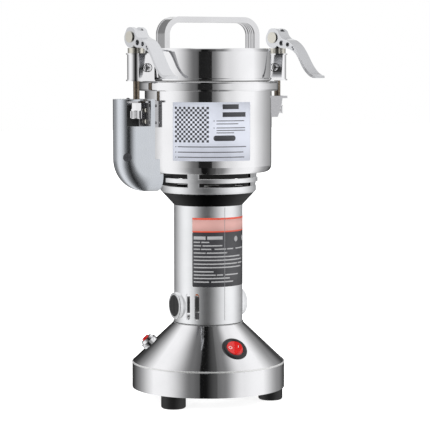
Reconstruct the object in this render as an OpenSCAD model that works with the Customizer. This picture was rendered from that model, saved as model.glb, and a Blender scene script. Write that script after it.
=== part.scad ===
// Electric grain mill: a clamped steel bowl and lid on a finned neck, motor tube and conical base.
// Millimetres. +Z is up, the front is -Y, and the origin is on the motor axis at the ground.

/* [Base] */
// Outer radius of the base rim
base_r = 69; // [64:0.5:76]
// Sheet thickness of the base shell
base_wall = 1.5; // [1:0.1:2.2]
// Height of the upright band at the rim
band_h = 23; // [18:0.5:28]
// Height of the cone above the band
cone_h = 35.7; // [32:0.1:40]
// Thickness of the plate that closes the base from below
base_plate_t = 1.2; // [0.8:0.1:2]
// Radius of the hole in the middle of the base plate
base_plate_hole_r = 20; // [10:1:30]
// Height of a rubber foot
foot_h = 12; // [10:0.5:16]
// Radius of a rubber foot
foot_r = 11; // [9:0.5:12]
// Distance from the base's edge in to a foot's middle
foot_in = 12.5; // [11:0.5:19]
// Radius of a foot screw's shank
foot_screw_r = 2; // [1.5:0.1:2.5]

/* [Motor tube] */
// Outer radius of the motor tube
tube_r = 31; // [29.5:0.1:33]
// Wall thickness of the motor tube
tube_wall = 2; // [1.4:0.1:2.4]
// Height of the motor tube
tube_h = 106.6; // [104:0.2:116]
// Width of a cooling slot
slot_w = 4.6; // [3:0.1:6]
// Height of a cooling slot
slot_h = 24; // [16:0.5:26]
// Height of the cooling slots above the tube's foot
slot_lift = 4.5; // [3:0.5:8]
// Height of the brush axis above the tube's foot
brush_lift = 16.3; // [15:0.1:18]
// Outer radius of a brush boss
boss_r = 12; // [11:0.1:13.5]
// Distance from the motor axis to the face of a brush boss
boss_reach = 34.5; // [33.5:0.5:38]
// Radius of a brush cap
brush_cap_r = 9.7; // [8:0.1:10.2]

/* [Neck] */
// Outer radius of the neck rim
neck_r = 43.1; // [41:0.1:45]
// Height of the neck cone
neck_cone_h = 13; // [10:0.5:18]
// Height of the neck rim
neck_rim_h = 4.4; // [3:0.1:8]
// Wall thickness of the neck housing
neck_wall = 2.2; // [1.8:0.1:3]
// Height of the lower air gap in the neck
air_gap_low = 3.8; // [3:0.1:6]
// Height of the ring between the air gaps
air_ring_h = 3.7; // [2.5:0.1:5]
// Height of the upper air gap in the neck
air_gap_high = 4.8; // [3:0.1:6]
// Width of a post that carries the bowl
post_w = 10; // [7:0.5:12]

/* [Bowl and lid] */
// Outer radius of the bowl
bowl_r = 57; // [55:0.5:59]
// Wall thickness of the bowl
bowl_wall = 1.5; // [1:0.1:2.5]
// Height of the bowl
bowl_h = 79; // [74:0.5:90]
// Outer corner radius at the bowl's foot
bowl_corner_r = 6; // [4:0.5:8]
// How far the collar ring stands out from the bowl
collar_out = 5.8; // [4:0.1:7]
// Height of the collar ring
collar_h = 8.4; // [6:0.2:12]
// Outer radius of the lid
lid_r = 56.5; // [54:0.5:58]
// Height of the lid
lid_h = 28.3; // [26:0.1:34]
// Sheet thickness of the lid
lid_wall = 1.2; // [0.8:0.1:2]
// Gap that the seal leaves between the lid and the collar ring
lid_gap = 1; // [0.6:0.1:1.5]

/* [Handle] */
// Width of the handle over both legs
handle_w = 95; // [80:1:98]
// Height of the handle above the lid
handle_h = 28; // [24:0.5:40]
// Depth of the handle strap
handle_d = 18; // [14:0.5:22]
// Thickness of the handle strap
handle_t = 5; // [4:0.1:6]
// Outer radius of the handle's corners
handle_corner_r = 16; // [12:0.5:20]

/* [Clamps] */
// Distance from the motor axis to a clamp rod
rod_x = 71; // [70:0.1:74]
// Radius of a clamp rod
rod_r = 2.75; // [2.5:0.05:3]
// Outer radius of the ear that guides a rod
ear_r = 8; // [7.6:0.1:8.4]
// Height of an ear between its two plates
ear_h = 22; // [20:0.5:25]
// Sheet thickness of an ear
ear_wall = 1.5; // [1.2:0.1:2]
// Thickness of the plates that close an ear
ear_plate_t = 1.2; // [0.8:0.1:1.6]
// Radius of a thrust washer
washer_r = 7.5; // [6.5:0.1:8]
// Thickness of a thrust washer
washer_t = 2.3; // [1.5:0.1:3]
// Width of a cam lever
lever_w = 14; // [13:0.5:15]
// Width of the slot between the cheeks of a cam lever
lever_slot = 6.4; // [6.2:0.1:6.8]
// Distance from the cam pin to the thrust washer, clamped
cam_lock = 9.6; // [9.2:0.1:10.5]
// Rise that the cam gives the rod
cam_lift = 2; // [1:0.1:2.4]
// Angle that a lever swings through
lever_swing = 120; // [100:5:130]
// Length of a cam lever from its pin to its tip
lever_reach = 49; // [44:0.5:56]
// Radius of a cam pin
pin_r = 3; // [2.4:0.1:3.2]
// Radius of a cam pin's head
pin_head_r = 5; // [4.5:0.1:5.5]
// Radius of a barrel nut
nut_r = 5; // [4.4:0.1:5.2]
// Height of a barrel nut
nut_h = 13.8; // [11:0.2:15]
// Direction of the left lever, seen from above
lever_left_a = -76.5; // [-90:0.5:-75]
// Direction of the right lever, seen from above
lever_right_a = -68.4; // [-90:0.5:-60]

/* [Forks and interlock] */
// Thickness of the left fork plate
fork_left_t = 1.7; // [1.2:0.1:2]
// Thickness of the right fork plate
fork_right_t = 2.1; // [1.5:0.1:2.5]
// Depth of the fork plates below the collar ring
fork_drop_left = 8.6; // [7:0.1:12]
// Depth of the right fork plate below the collar ring
fork_drop_right = 5.2; // [4:0.1:9]
// Half the width of the interlock cover
cover_half_w = 15; // [14.5:0.1:16]
// Distance from the motor axis to the cover's outer face
cover_x = 91.8; // [89:0.2:95]
// Wall thickness of the interlock cover
cover_wall = 2; // [1.5:0.1:2.2]
// Thickness of the top of the interlock cover
cover_top_t = 1.6; // [1.2:0.1:2.5]
// Radius of the cover's upright corners
cover_corner_r = 13.5; // [11:0.1:14]
// Outer radius of the bend at the foot of the cover
cover_bend_r = 29; // [25:0.5:31]
// Height of the window in the cover
window_h = 22; // [19:0.5:26]

/* [Controls] */
// Distance from the base's edge in to the rocker, along the ground
rocker_in = 18; // [15:0.5:20]
// Outer radius of the rocker's bezel
bezel_r = 11.7; // [11:0.1:13]
// Radius of the rocker
rocker_r = 8.1; // [7:0.1:8.6]
// Angle between the rocker's two positions
rocker_swing = 24; // [16:1:28]
// Turn of the rocker in the plane of the base cone
rocker_turn = -20; // [-30:1:0]
// Direction of the reset button, seen from above
reset_a = 158; // [150:1:165]
// Distance from the base's edge in to the reset button, along the ground
reset_in = 17; // [13:0.5:20]
// Radius of the nut round the reset button
reset_nut_r = 7.5; // [6.5:0.1:9]
// Radius of the reset button
reset_button_r = 3.4; // [2.5:0.1:4]

/* [Cutters] */
// Radius that the cutters sweep
cutter_r = 50; // [40:1:52]
// Thickness of a cutter
cutter_t = 2; // [1.5:0.1:3]
// Radius of the motor shaft
shaft_r = 4; // [3.5:0.1:4.5]

/* [Hidden] */
$fn = 72;
// Overrun of every cut
over = 1;
// Play of a shaft or pin that turns or slides in its bore
play = 0.05;
// Gap beside pieces that move past each other
side_gap = 0.3;
// Gap under a piece that slides on a flat
seat_gap = 0.1;

// Heights, from the ground up
rim_z = foot_h;
crease_z = rim_z + band_h;
cone_top_z = crease_z + cone_h;
tube_top_z = cone_top_z + tube_h;
neck_rim_z = tube_top_z + neck_cone_h;
neck_top_z = neck_rim_z + neck_rim_h;
air_ring_z = neck_top_z + air_gap_low;
bowl_z = air_ring_z + air_ring_h + air_gap_high;
bowl_top_z = bowl_z + bowl_h;
collar_r = bowl_r + collar_out;
collar_lip = 2;
collar_top_z = bowl_top_z + collar_lip;
collar_z = collar_top_z - collar_h;
lid_z = collar_top_z + lid_gap;
lid_top_z = lid_z + lid_h;
handle_top_z = lid_top_z + handle_h;

// Base and feet
cone_top_r = tube_r + 0.3 * base_wall;
foot_circle_r = base_r - foot_in;
cone_tilt = atan(cone_h / (base_r - cone_top_r));
foot_angles = [-150, -30, 90];
foot_edge_r = 2;
foot_recess_r = 5.5;
foot_recess_h = 7;
foot_nut_h = 2.8;
plate_slot_w = 3;
plate_slot_len = 16;
plate_slot_n = 9;
plate_slot_rho = 34;
gland_z = rim_z + 0.5 * band_h;
gland_r = 6.5;
gland_bore_r = 3.4;
gland_proud = 4;
gland_len = 12;
gland_neck_r = 4.8;

// Motor
bracket_t = 3;
bearing_r = 11;
bearing_h = 7;
bearing_lift = 2;
bearing_z = cone_top_z + bearing_lift;
bearing_wall = 2.5;
race_t = 2;
seat_step = 1.2;
brush_z = cone_top_z + brush_lift;
commutator_r = 9;
commutator_h = 14;
commutator_slots = 22;
commutator_groove = 0.6;
brush_w = 6;
brush_tall = 8;
brush_len = 13;
brush_gap = 0.15;
holder_r = 7.5;
holder_gap = 2.5;
boss_flare = 0.8;
boss_edge_r = 1;
holder_reach = commutator_r + holder_gap;
brush_cap_t = 3.2;
brush_cap_slot = 1.6;
spring_wall = 0.8;
core_lift = 33.5;
core_z = cone_top_z + core_lift;
core_h = 44;
core_bore_r = 15.6;
core_yoke = 5.5;
pole_half_a = 50;
coil_half_a = 72;
air_clear = 0.6;
coil_h = 7.5;
rotor_slots = 12;
rotor_slot_w = 2.2;
rotor_slot_d = 4.5;
fan_gap = 2.5;
fan_z = core_z + core_h + coil_h + fan_gap;
fan_h = 11;
fan_r = 25;
fan_blades = 9;
fan_blade_t = 1.2;
fan_hub_r = 7;
bearing_sink = 3.3;
bearing_top_z = tube_top_z - bearing_sink;
spoke_w = 6;
spoke_h = 5;
spoke_n = 4;
spigot_h = 4;
hub_wall = 2.5;

// Neck posts and the spacer inside them
post_angles = [45, 135, 225, 315];
post_flare = 1.5;
post_t = 3.6;
web_t = 2.4;
web_hub_r = 12;
spacer_r = 37.5;
spacer_wall = 2;
spacer_window_w = 13;
tongue_half_w = 4;
tongue_h = 9;
tongue_wall = 1.2;
tongue_z = neck_top_z + tongue_wall;

// Bowl, lid and their small parts
bowl_floor_t = 2;
seal_r = 8;
seal_h = 5;
seal_lip = 1.6;
bowl_screw_r = 1.6;
bowl_screw_rho = 41.6;
collar_edge_r = 1.6;
collar_lip_in = 1.8;
lid_edge_r = 3;
lid_bead = 0.7;
lid_seal_in = 4.8;
lid_seal_h = 4;
handle_rib_n = 3;
handle_rib_w = 1.8;
handle_rib_t = 0.8;
handle_rim = 2.4;
handle_sink = 0.5;
handle_floor_t = 3.4;
handle_screw_r = 1.2;
handle_screw_in = 9;
handle_screw_x = handle_w / 2 - handle_sink - handle_floor_t / 2;

// Clamps: each piece stands on the one below
saddle_t = 1.2;
saddle_low_w = 24;
saddle_high_w = 15;
saddle_lift = 2;
ear_lift = 0.6;
ear_z = lid_z + ear_lift;
ear_top_z = ear_z + ear_h;
ear_plate_over = 1;
ear_screw_in = 7;
ear_screw_x = rod_x - ear_screw_in;
ear_screw_z = ear_z + 0.48 * ear_h;
ear_screw_r = 2;
ear_head_r = 3.8;
ear_head_t = 1.9;
washer_z = ear_top_z + ear_plate_t + play;
washer_top_z = washer_z + 2 * washer_t;
pin_z = washer_top_z + cam_lock + seat_gap;
eye_r = 8.5;
rod_eye_r = 5.2;
rod_eye_w = 6;
fork_left_z = collar_z - fork_drop_left - fork_left_t;
fork_right_z = collar_z - fork_drop_right - fork_right_t;
slot_gap = 0.9;
slot_deep = 3;
cover_slot_gap = 2.4;
fork_reach_left = 12;
fork_reach_right = 5;
fork_root = 4;
leaf_left_h = 21.5;
flange_hole_r = 1.3;
flange_hole_x = bowl_r + flange_hole_r;
flange_hole_lifts = [4, 19];
fork_half_w = 10;
fork_leaf_t = 1.5;
gusset_h = 17;
gusset_t = 1.5;
// Corners of the right fork's gusset, in shares of the way from bowl to rod and of its height
gusset_shares = [[-0.25, 0], [0.64, 0], [0.86, 0.45], [1, 1], [-0.25, 1]];
nut_hex_h = 0.48 * nut_h;
nut_slot_w = 1.3;
pin_head_t = 1.2;
swing_out_a = 25;

// Interlock
cover_top_z = fork_left_z + fork_left_t + cover_top_t;
cover_back_x = 60;
cover_bend_x = cover_x - cover_bend_r;
cover_drop = 16;
cover_foot_z = bowl_z - cover_drop;
cover_bend_z = cover_foot_z + cover_bend_r;
cover_end_x = 52;
tongue_x = cover_end_x + 2 * cover_wall;
window_rim = 5.8;
window_left_x = cover_x - window_rim;
window_in = 7.1;
window_right_x = rod_x - window_in;
window_top_z = fork_left_z + fork_left_t;
window_z = window_top_z - window_h;
bracket_flange_t = 1.5;
bracket_flange_out = 5.8;
bracket_flange_x = bowl_r + bracket_flange_out;
switch_w = 12;
switch_tall = 20;
switch_y = 7.6;
switch_drop = 22;
switch_z = fork_left_z - switch_drop;
plunger_r = 1.6;
plunger_len = 6.5;
plunger_drop = 8;
plunger_z = fork_left_z - plunger_drop;
plug_r = 3.8;
plug_turn = 56;
cover_screw_r = 1.3;
cover_screw_in = 11.8;
cover_screw_x = cover_x - cover_screw_in;
cover_screw_y = 2;

// Controls
rocker_x = base_r - rocker_in;
reset_x = base_r - reset_in;
bezel_t = 2;
bezel_body_r = 10;
bezel_body_h = 15;
well_r = rocker_r + side_gap;
well_h = 10.6;
rocker_pivot = -1.5;
rocker_pin_r = 1.2;
bezel_skin = 0.6;
rocker_foot = 5;
rocker_mid_a = rocker_swing / 2;
reset_neck_r = 5;
reset_neck_h = 7.2;
reset_neck_top = reset_neck_h - 2 * base_wall;
reset_body_w = 16;
reset_body_d = 12;
reset_body_h = 22;
reset_nut_h = 4;
reset_cap_h = 2.6;
reset_proud = 1.6;
reset_travel = 1.2;

// Cutters
cutter_lift = 8;
cutter_low_z = bowl_z + cutter_lift;
cutter_pitch = 20;
cutter_high_z = cutter_low_z + cutter_pitch;
cutter_w = 17;
cutter_root_share = 0.62;
cutter_tip_a = 24;
cutter_hub_r = 9;
shoulder_step = 1;
shoulder_r = shaft_r + shoulder_step;
spacer_out_r = 7.5;
top_nut_h = 7;
top_washer_t = 1.5;
thread_end = 4;

// Colours
steel = "silver";
bright = "gainsboro";
dark_steel = "dimgray";
alu = "lightgray";
black = "#202022";
red = "#c81818";
copper = "#b5703a";
brass = "#b89b4a";

// Shared shapes

// A straight tube between two heights
module tube_at(z, h, r_out, r_in) {
    difference() {
        translate([0, 0, z]) cylinder(h = h, r = r_out);
        translate([0, 0, z - over]) cylinder(h = h + 2 * over, r = r_in);
    }
}

// A revolved solid from points [radius, height]
module revolved(points) {
    rotate_extrude() polygon(points);
}

// Places children on the base cone, their Z along its normal and their -X up the slope
module on_cone(a, rho) {
    cone_z = crease_z + (base_r - rho) * tan(cone_tilt);
    rotate([0, 0, a]) translate([rho, 0, cone_z]) rotate([0, cone_tilt, 0]) children();
}

// A slot with round ends, standing along Z and cut along X
module upright_slot(w, h, depth) {
    rotate([0, 90, 0]) {
        for (s = [0, h - w]) translate([-w / 2 - s, 0, 0]) cylinder(h = depth, r = w / 2);
        translate([-h + w / 2, -w / 2, 0]) cube([h - w, w, depth]);
    }
}

// A pan-head screw that points down, with its seat at the origin
module pan_screw(r, len, head_r, head_t) {
    translate([0, 0, -len]) cylinder(h = len, r = r);
    difference() {
        rotate_extrude() intersection() {
            translate([0, -head_t * 2]) scale([head_r, head_t * 3]) circle(r = 1);
            square([head_r, head_t]);
        }
        for (a = [0, 90]) rotate([0, 0, a])
            translate([-head_r * 0.55, -head_t * 0.18, head_t * 0.5])
                cube([head_r * 1.1, head_t * 0.36, head_t]);
    }
}

// Cubic curve through a list of four points
function curve(p, n) = [for (i = [0:n]) let (t = i / n)
    pow(1 - t, 3) * p[0] + 3 * t * pow(1 - t, 2) * p[1] + 3 * t * t * (1 - t) * p[2] + pow(t, 3) * p[3]];

// Points of an arc about a centre
function arc(c, r, a0, a1, n) = [for (i = [0:n]) let (a = a0 + (a1 - a0) * i / n)
    c + r * [cos(a), sin(a)]];

// Base

module base_shell() {
    color(bright) difference() {
        revolved([
            [base_r - base_wall, rim_z], [base_r, rim_z], [base_r, crease_z],
            [cone_top_r, cone_top_z], [tube_r - 2 * tube_wall, cone_top_z],
            [tube_r - 2 * tube_wall, cone_top_z - base_wall],
            [cone_top_r - base_wall * 0.4, cone_top_z - base_wall],
            [base_r - base_wall, crease_z - base_wall * 0.5]
        ]);
        on_cone(-90, rocker_x) translate([0, 0, -bezel_body_h])
            cylinder(h = 2 * bezel_body_h, r = bezel_body_r);
        on_cone(reset_a, reset_x) translate([0, 0, -bezel_body_h])
            cylinder(h = 2 * bezel_body_h, r = reset_neck_r);
        rotate([0, 0, 90]) translate([base_r - gland_len, 0, gland_z]) rotate([0, 90, 0])
            cylinder(h = 2 * gland_len, r = gland_neck_r);
    }
}

module base_plate() {
    color(dark_steel) difference() {
        tube_at(rim_z, base_plate_t, base_r - base_wall, base_plate_hole_r);
        for (a = foot_angles) rotate([0, 0, a]) translate([foot_circle_r, 0, rim_z - over])
            cylinder(h = base_plate_t + 2 * over, r = foot_screw_r);
        for (i = [0:plate_slot_n - 1]) rotate([0, 0, i * 360 / plate_slot_n])
            translate([plate_slot_rho - plate_slot_len / 2, -plate_slot_w / 2, rim_z - over])
                cube([plate_slot_len, plate_slot_w, base_plate_t + 2 * over]);
    }
}

module rubber_feet() {
    color(black) for (a = foot_angles) rotate([0, 0, a]) translate([foot_circle_r, 0, 0])
        revolved(concat(
            [[foot_recess_r, 0], [foot_r - foot_edge_r, 0]],
            arc([foot_r - foot_edge_r, foot_edge_r], foot_edge_r, -75, 0, 5),
            [[foot_r, foot_h], [foot_screw_r, foot_h],
             [foot_screw_r, foot_recess_h], [foot_recess_r, foot_recess_h]]
        ));
}

module foot_screws() {
    screw_len = foot_h - foot_recess_h + base_plate_t + foot_nut_h;
    color(steel) for (a = foot_angles) rotate([0, 0, a]) translate([foot_circle_r, 0, 0]) {
        translate([0, 0, foot_recess_h]) mirror([0, 0, 1])
            pan_screw(foot_screw_r, screw_len, 2 * foot_screw_r, foot_screw_r);
        translate([0, 0, foot_h + base_plate_t]) cylinder(h = foot_nut_h, r = 2 * foot_screw_r, $fn = 6);
    }
}

module cord_gland() {
    color(black) rotate([0, 0, 90]) translate([0, 0, gland_z]) rotate([0, 90, 0]) difference() {
        union() {
            translate([0, 0, base_r]) cylinder(h = gland_proud, r = gland_r);
            translate([0, 0, base_r - gland_len]) cylinder(h = gland_len + over, r = gland_neck_r);
            translate([0, 0, base_r - gland_len]) cylinder(h = gland_len - 2 * base_wall, r = gland_r);
        }
        translate([0, 0, base_r - gland_len - over])
            cylinder(h = gland_len + gland_proud + 2 * over, r = gland_bore_r);
    }
}

// Controls

module rocker_bezel() {
    color(black) on_cone(-90, rocker_x) rotate([0, 0, rocker_turn]) difference() {
        union() {
            rotate_extrude() polygon(concat(
                [[0, 0], [bezel_r, 0]],
                arc([bezel_r - bezel_t, 0], bezel_t, 15, 90, 5),
                [[0, bezel_t]]
            ));
            translate([0, 0, -bezel_body_h]) cylinder(h = bezel_body_h, r = bezel_body_r);
        }
        translate([0, 0, bezel_t - well_h]) cylinder(h = well_h + over, r = well_r);
        translate([0, 0, rocker_pivot]) rotate([0, 90, 0]) translate([0, 0, -bezel_body_r + bezel_skin])
            cylinder(h = 2 * (bezel_body_r - bezel_skin), r = rocker_pin_r + play);
    }
}

module rocker() {
    rise = bezel_t - rocker_pivot;
    pin_half = bezel_body_r - bezel_skin - 2 * seat_gap;
    color(red) on_cone(-90, rocker_x) rotate([0, 0, rocker_turn]) translate([0, 0, rocker_pivot])
        rotate([rocker_mid_a, 0, 0]) {
            intersection() {
                sphere(r = rocker_r);
                rotate([90, 0, 90]) translate([0, 0, -rocker_r]) linear_extrude(2 * rocker_r)
                    polygon([
                        [-rocker_r, -rocker_foot], [rocker_r, -rocker_foot],
                        [rocker_r, rise + rocker_r * tan(rocker_mid_a)], [0, rise],
                        [-rocker_r, rise + rocker_r * tan(rocker_mid_a)]
                    ]);
            }
            rotate([0, 90, 0]) translate([0, 0, -pin_half])
                cylinder(h = 2 * pin_half, r = rocker_pin_r);
        }
}

module reset_breaker() {
    color(black) on_cone(reset_a, reset_x) difference() {
        union() {
            translate([0, 0, -2 * base_wall]) cylinder(h = reset_neck_h, r = reset_neck_r);
            translate([-reset_body_d / 2, -reset_body_w / 2, -reset_body_h - 1.5 * base_wall])
                cube([reset_body_d, reset_body_w, reset_body_h]);
        }
        translate([0, 0, -reset_body_h / 2])
            cylinder(h = reset_body_h, r = reset_button_r + play);
    }
}

module reset_nut() {
    color(steel) on_cone(reset_a, reset_x) difference() {
        union() {
            cylinder(h = reset_nut_h, r = reset_nut_r);
            translate([0, 0, reset_nut_h])
                cylinder(h = reset_cap_h, r1 = 0.87 * reset_nut_r, r2 = 0.73 * reset_nut_r);
        }
        translate([0, 0, -over]) cylinder(h = reset_neck_top + over, r = reset_neck_r);
        cylinder(h = 2 * reset_neck_h, r = reset_button_r + 2 * play);
    }
}

module reset_button() {
    top = reset_nut_h + reset_cap_h + reset_proud;
    color(red) on_cone(reset_a, reset_x)
        translate([0, 0, top - reset_body_h / 2 + reset_travel])
            cylinder(h = reset_body_h / 2 - reset_travel, r = reset_button_r);
}

// Motor

// Brush boss along +X, with a rolled rim and a root that flares into the tube
module brush_boss() {
    translate([0, 0, brush_z]) rotate([0, 90, 0]) revolved(concat(
        [[0, 0], [boss_r, 0], [boss_r + boss_flare, tube_r - boss_r / 2], [boss_r, tube_r]],
        arc([boss_r - boss_edge_r, boss_reach - boss_edge_r], boss_edge_r, 0, 90, 5),
        [[0, boss_reach]]
    ));
}

module motor_tube() {
    color(alu) difference() {
        union() {
            translate([0, 0, cone_top_z]) cylinder(h = tube_h, r = tube_r);
            for (side = [0, 180]) rotate([0, 0, side]) brush_boss();
        }
        translate([0, 0, cone_top_z - over]) cylinder(h = tube_h + 2 * over, r = tube_r - tube_wall);
        for (side = [0, 180]) rotate([0, 0, side]) translate([0, 0, brush_z]) rotate([0, 90, 0]) {
            cylinder(h = 2 * tube_r, r = holder_r);
            translate([0, 0, boss_reach - brush_cap_t]) cylinder(h = brush_cap_t + over, r = brush_cap_r);
        }
        for (side = [0, 180], a = [27, 43.6]) rotate([0, 0, side + a])
            translate([tube_r - 2 * tube_wall, 0, cone_top_z + slot_lift])
                upright_slot(slot_w, slot_h, 3 * tube_wall);
    }
}

module brush_housings() {
    color(black) for (side = [0, 180]) rotate([0, 0, side]) difference() {
        translate([holder_reach, 0, brush_z]) rotate([0, 90, 0])
            cylinder(h = boss_reach - brush_cap_t - holder_reach, r = holder_r);
        translate([0, -brush_w / 2 - play, brush_z - brush_tall / 2 - play])
            cube([boss_reach + over, brush_w + 2 * play, brush_tall + 2 * play]);
    }
}

module brush_caps() {
    color(black) for (side = [0, 180]) rotate([0, 0, side]) difference() {
        translate([boss_reach - brush_cap_t, 0, brush_z]) rotate([0, 90, 0])
            cylinder(h = brush_cap_t, r = brush_cap_r);
        translate([boss_reach - brush_cap_slot, -brush_cap_slot / 2, brush_z - 0.75 * brush_cap_r])
            cube([2 * brush_cap_slot, brush_cap_slot, 1.5 * brush_cap_r]);
    }
}

module carbon_brushes() {
    color(dark_steel) for (side = [0, 180]) rotate([0, 0, side])
        translate([commutator_r + brush_gap, -brush_w / 2, brush_z - brush_tall / 2])
            cube([brush_len, brush_w, brush_tall]);
}

module brush_springs() {
    from = commutator_r + brush_gap + brush_len;
    color(steel) for (side = [0, 180]) rotate([0, 0, side])
        translate([from, 0, brush_z]) rotate([0, 90, 0])
            tube_at(0, boss_reach - brush_cap_t - from, brush_w / 2, brush_w / 2 - spring_wall);
}

module bearing_bracket() {
    color(alu) difference() {
        union() {
            tube_at(cone_top_z, bracket_t, tube_r - tube_wall, bearing_r);
            tube_at(cone_top_z, bearing_z - cone_top_z + bearing_h, bearing_r + bearing_wall, bearing_r);
            tube_at(cone_top_z, bearing_z - cone_top_z, bearing_r + bearing_wall, bearing_r - bearing_wall);
        }
        for (i = [0:5]) rotate([0, 0, 60 * i]) translate([(tube_r + bearing_r) / 2, 0, cone_top_z - over])
            cylinder(h = bracket_t + 2 * over, r = bracket_t);
    }
}

module bearing(z) {
    inner = shaft_r + race_t;
    outer = bearing_r - race_t;
    shield = seat_step / 2;
    translate([0, 0, z]) revolved([
        [shaft_r + play, 0], [inner, 0], [inner, shield], [outer, shield], [outer, 0], [bearing_r, 0],
        [bearing_r, bearing_h], [outer, bearing_h], [outer, bearing_h - shield],
        [inner, bearing_h - shield], [inner, bearing_h], [shaft_r + play, bearing_h]
    ]);
}

module shaft_bearings() {
    color(steel) {
        bearing(bearing_z);
        bearing(bearing_top_z);
    }
}

// Plan of a sector about +X
module wedge(r, half_a) {
    polygon([[0, 0], [r, -r * tan(half_a)], [r, r * tan(half_a)]]);
}

module stator_core() {
    inner = tube_r - tube_wall;
    color(dark_steel) translate([0, 0, core_z]) linear_extrude(core_h) difference() {
        circle(r = inner);
        difference() {
            circle(r = inner - core_yoke);
            for (side = [90, 270]) rotate([0, 0, side]) wedge(inner, pole_half_a);
        }
        circle(r = core_bore_r);
        for (side = [-1, 1]) translate([side * inner, 0]) circle(r = core_yoke / 2);
    }
}

module field_coils() {
    outer = tube_r - tube_wall - core_yoke - side_gap;
    color(copper) for (side = [90, 270]) rotate([0, 0, side]) difference() {
        translate([0, 0, core_z - coil_h]) linear_extrude(core_h + 2 * coil_h) difference() {
            intersection() {
                circle(r = outer);
                wedge(outer, coil_half_a);
            }
            circle(r = core_bore_r + air_clear);
        }
        translate([0, 0, core_z - side_gap]) linear_extrude(core_h + 2 * side_gap)
            wedge(2 * outer, pole_half_a + 1);
    }
}

module motor_shaft() {
    color(steel) union() {
        translate([0, 0, bearing_z])
            cylinder(h = cutter_high_z + cutter_t + top_nut_h + thread_end - bearing_z, r = shaft_r);
        translate([0, 0, bearing_top_z + bearing_h + play])
            cylinder(h = cutter_low_z - bearing_top_z - bearing_h - play, r = shoulder_r);
    }
}

module rotor_core() {
    rotor_r = core_bore_r - air_clear;
    color(dark_steel) difference() {
        tube_at(core_z, core_h, rotor_r, shaft_r);
        for (i = [0:rotor_slots - 1]) rotate([0, 0, i * 360 / rotor_slots])
            translate([rotor_r - rotor_slot_d, -rotor_slot_w / 2, core_z - over])
                cube([2 * rotor_slot_d, rotor_slot_w, core_h + 2 * over]);
    }
}

module rotor_windings() {
    out = core_bore_r - 3 * air_clear;
    color(copper) for (z = [core_z - coil_h, core_z + core_h]) translate([0, 0, z])
        rotate_extrude() {
            translate([(out + shaft_r) / 2, coil_h / 2])
                square([out - shaft_r - coil_h / 2, coil_h], center = true);
            for (x = [shaft_r + coil_h / 4, out - coil_h / 4])
                translate([x - coil_h / 4, coil_h / 4]) square([coil_h / 2, coil_h / 2]);
        }
}

module commutator() {
    color(copper) difference() {
        tube_at(brush_z - commutator_h / 2, commutator_h, commutator_r, shaft_r);
        for (i = [0:commutator_slots - 1]) rotate([0, 0, (i + 0.5) * 360 / commutator_slots])
            translate([commutator_r - commutator_groove, -commutator_groove / 2, brush_z - commutator_h])
                cube([2 * commutator_groove, commutator_groove, 2 * commutator_h]);
    }
}

module cooling_fan() {
    color(black) translate([0, 0, fan_z]) difference() {
        union() {
            cylinder(h = fan_blade_t, r = fan_r);
            linear_extrude(fan_h) {
                circle(r = fan_hub_r);
                for (i = [0:fan_blades - 1]) rotate([0, 0, i * 360 / fan_blades])
                    translate([fan_hub_r - fan_blade_t, 0]) rotate(-25) square([0.62 * fan_r, fan_blade_t]);
            }
        }
        translate([0, 0, -over]) cylinder(h = fan_h + 2 * over, r = shaft_r);
    }
}

// Neck

module neck_housing() {
    inner_r = tube_r - tube_wall;
    hub_out = bearing_r + hub_wall;
    color(alu) union() {
        revolved([
            [inner_r - neck_wall, tube_top_z - spigot_h], [inner_r, tube_top_z - spigot_h],
            [inner_r, tube_top_z], [tube_r, tube_top_z], [neck_r, neck_rim_z], [neck_r, neck_top_z],
            [neck_r - neck_wall, neck_top_z], [neck_r - neck_wall, neck_rim_z],
            [inner_r - neck_wall, tube_top_z]
        ]);
        tube_at(bearing_top_z, bearing_h + seat_step, hub_out, bearing_r);
        tube_at(bearing_top_z + bearing_h, seat_step, hub_out, shoulder_r + seat_step);
        for (i = [0:spoke_n - 1]) rotate([0, 0, 45 + i * 360 / spoke_n])
            translate([bearing_r + hub_wall / 2, -spoke_w / 2, tube_top_z - spigot_h])
                cube([inner_r - neck_wall / 2 - bearing_r - hub_wall / 2, spoke_w, spoke_h]);
    }
}

// The posts that carry the bowl stand on the neck rim, step down inside it and flare outwards
module neck_posts(step_r) {
    low = neck_top_z - web_t;
    intersection() {
        revolved([
            [neck_r - post_t, low], [step_r, low], [step_r, neck_top_z], [neck_r, neck_top_z],
            [neck_r + post_flare, bowl_z], [neck_r - post_t, bowl_z]
        ]);
        for (a = post_angles) rotate([0, 0, a]) translate([0, -post_w / 2, low - over])
            cube([2 * neck_r, post_w, bowl_z - low + 2 * over]);
    }
}

module vent_neck() {
    web_out = neck_r - neck_wall - seat_gap;
    low = neck_top_z - web_t;
    color(alu) difference() {
        union() {
            tube_at(low, web_t, web_out, web_out - web_t);
            tube_at(low, web_t, web_hub_r + web_t, web_hub_r);
            for (a = post_angles) rotate([0, 0, a])
                translate([web_hub_r + web_t / 2, -post_w / 2, low])
                    cube([web_out - web_hub_r - 1.5 * web_t, post_w, web_t]);
            neck_posts(web_out - web_t / 4);
            tube_at(air_ring_z, air_ring_h, neck_r + post_flare, neck_r - 0.8 * post_t);
        }
        translate([-2 * neck_r, -tongue_half_w, tongue_z]) cube([2 * neck_r, 2 * tongue_half_w, tongue_h]);
        for (a = post_angles) rotate([0, 0, a]) translate([bowl_screw_rho, 0, air_ring_z])
            cylinder(h = bowl_z - air_ring_z + over, r = bowl_screw_r);
    }
}

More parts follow.
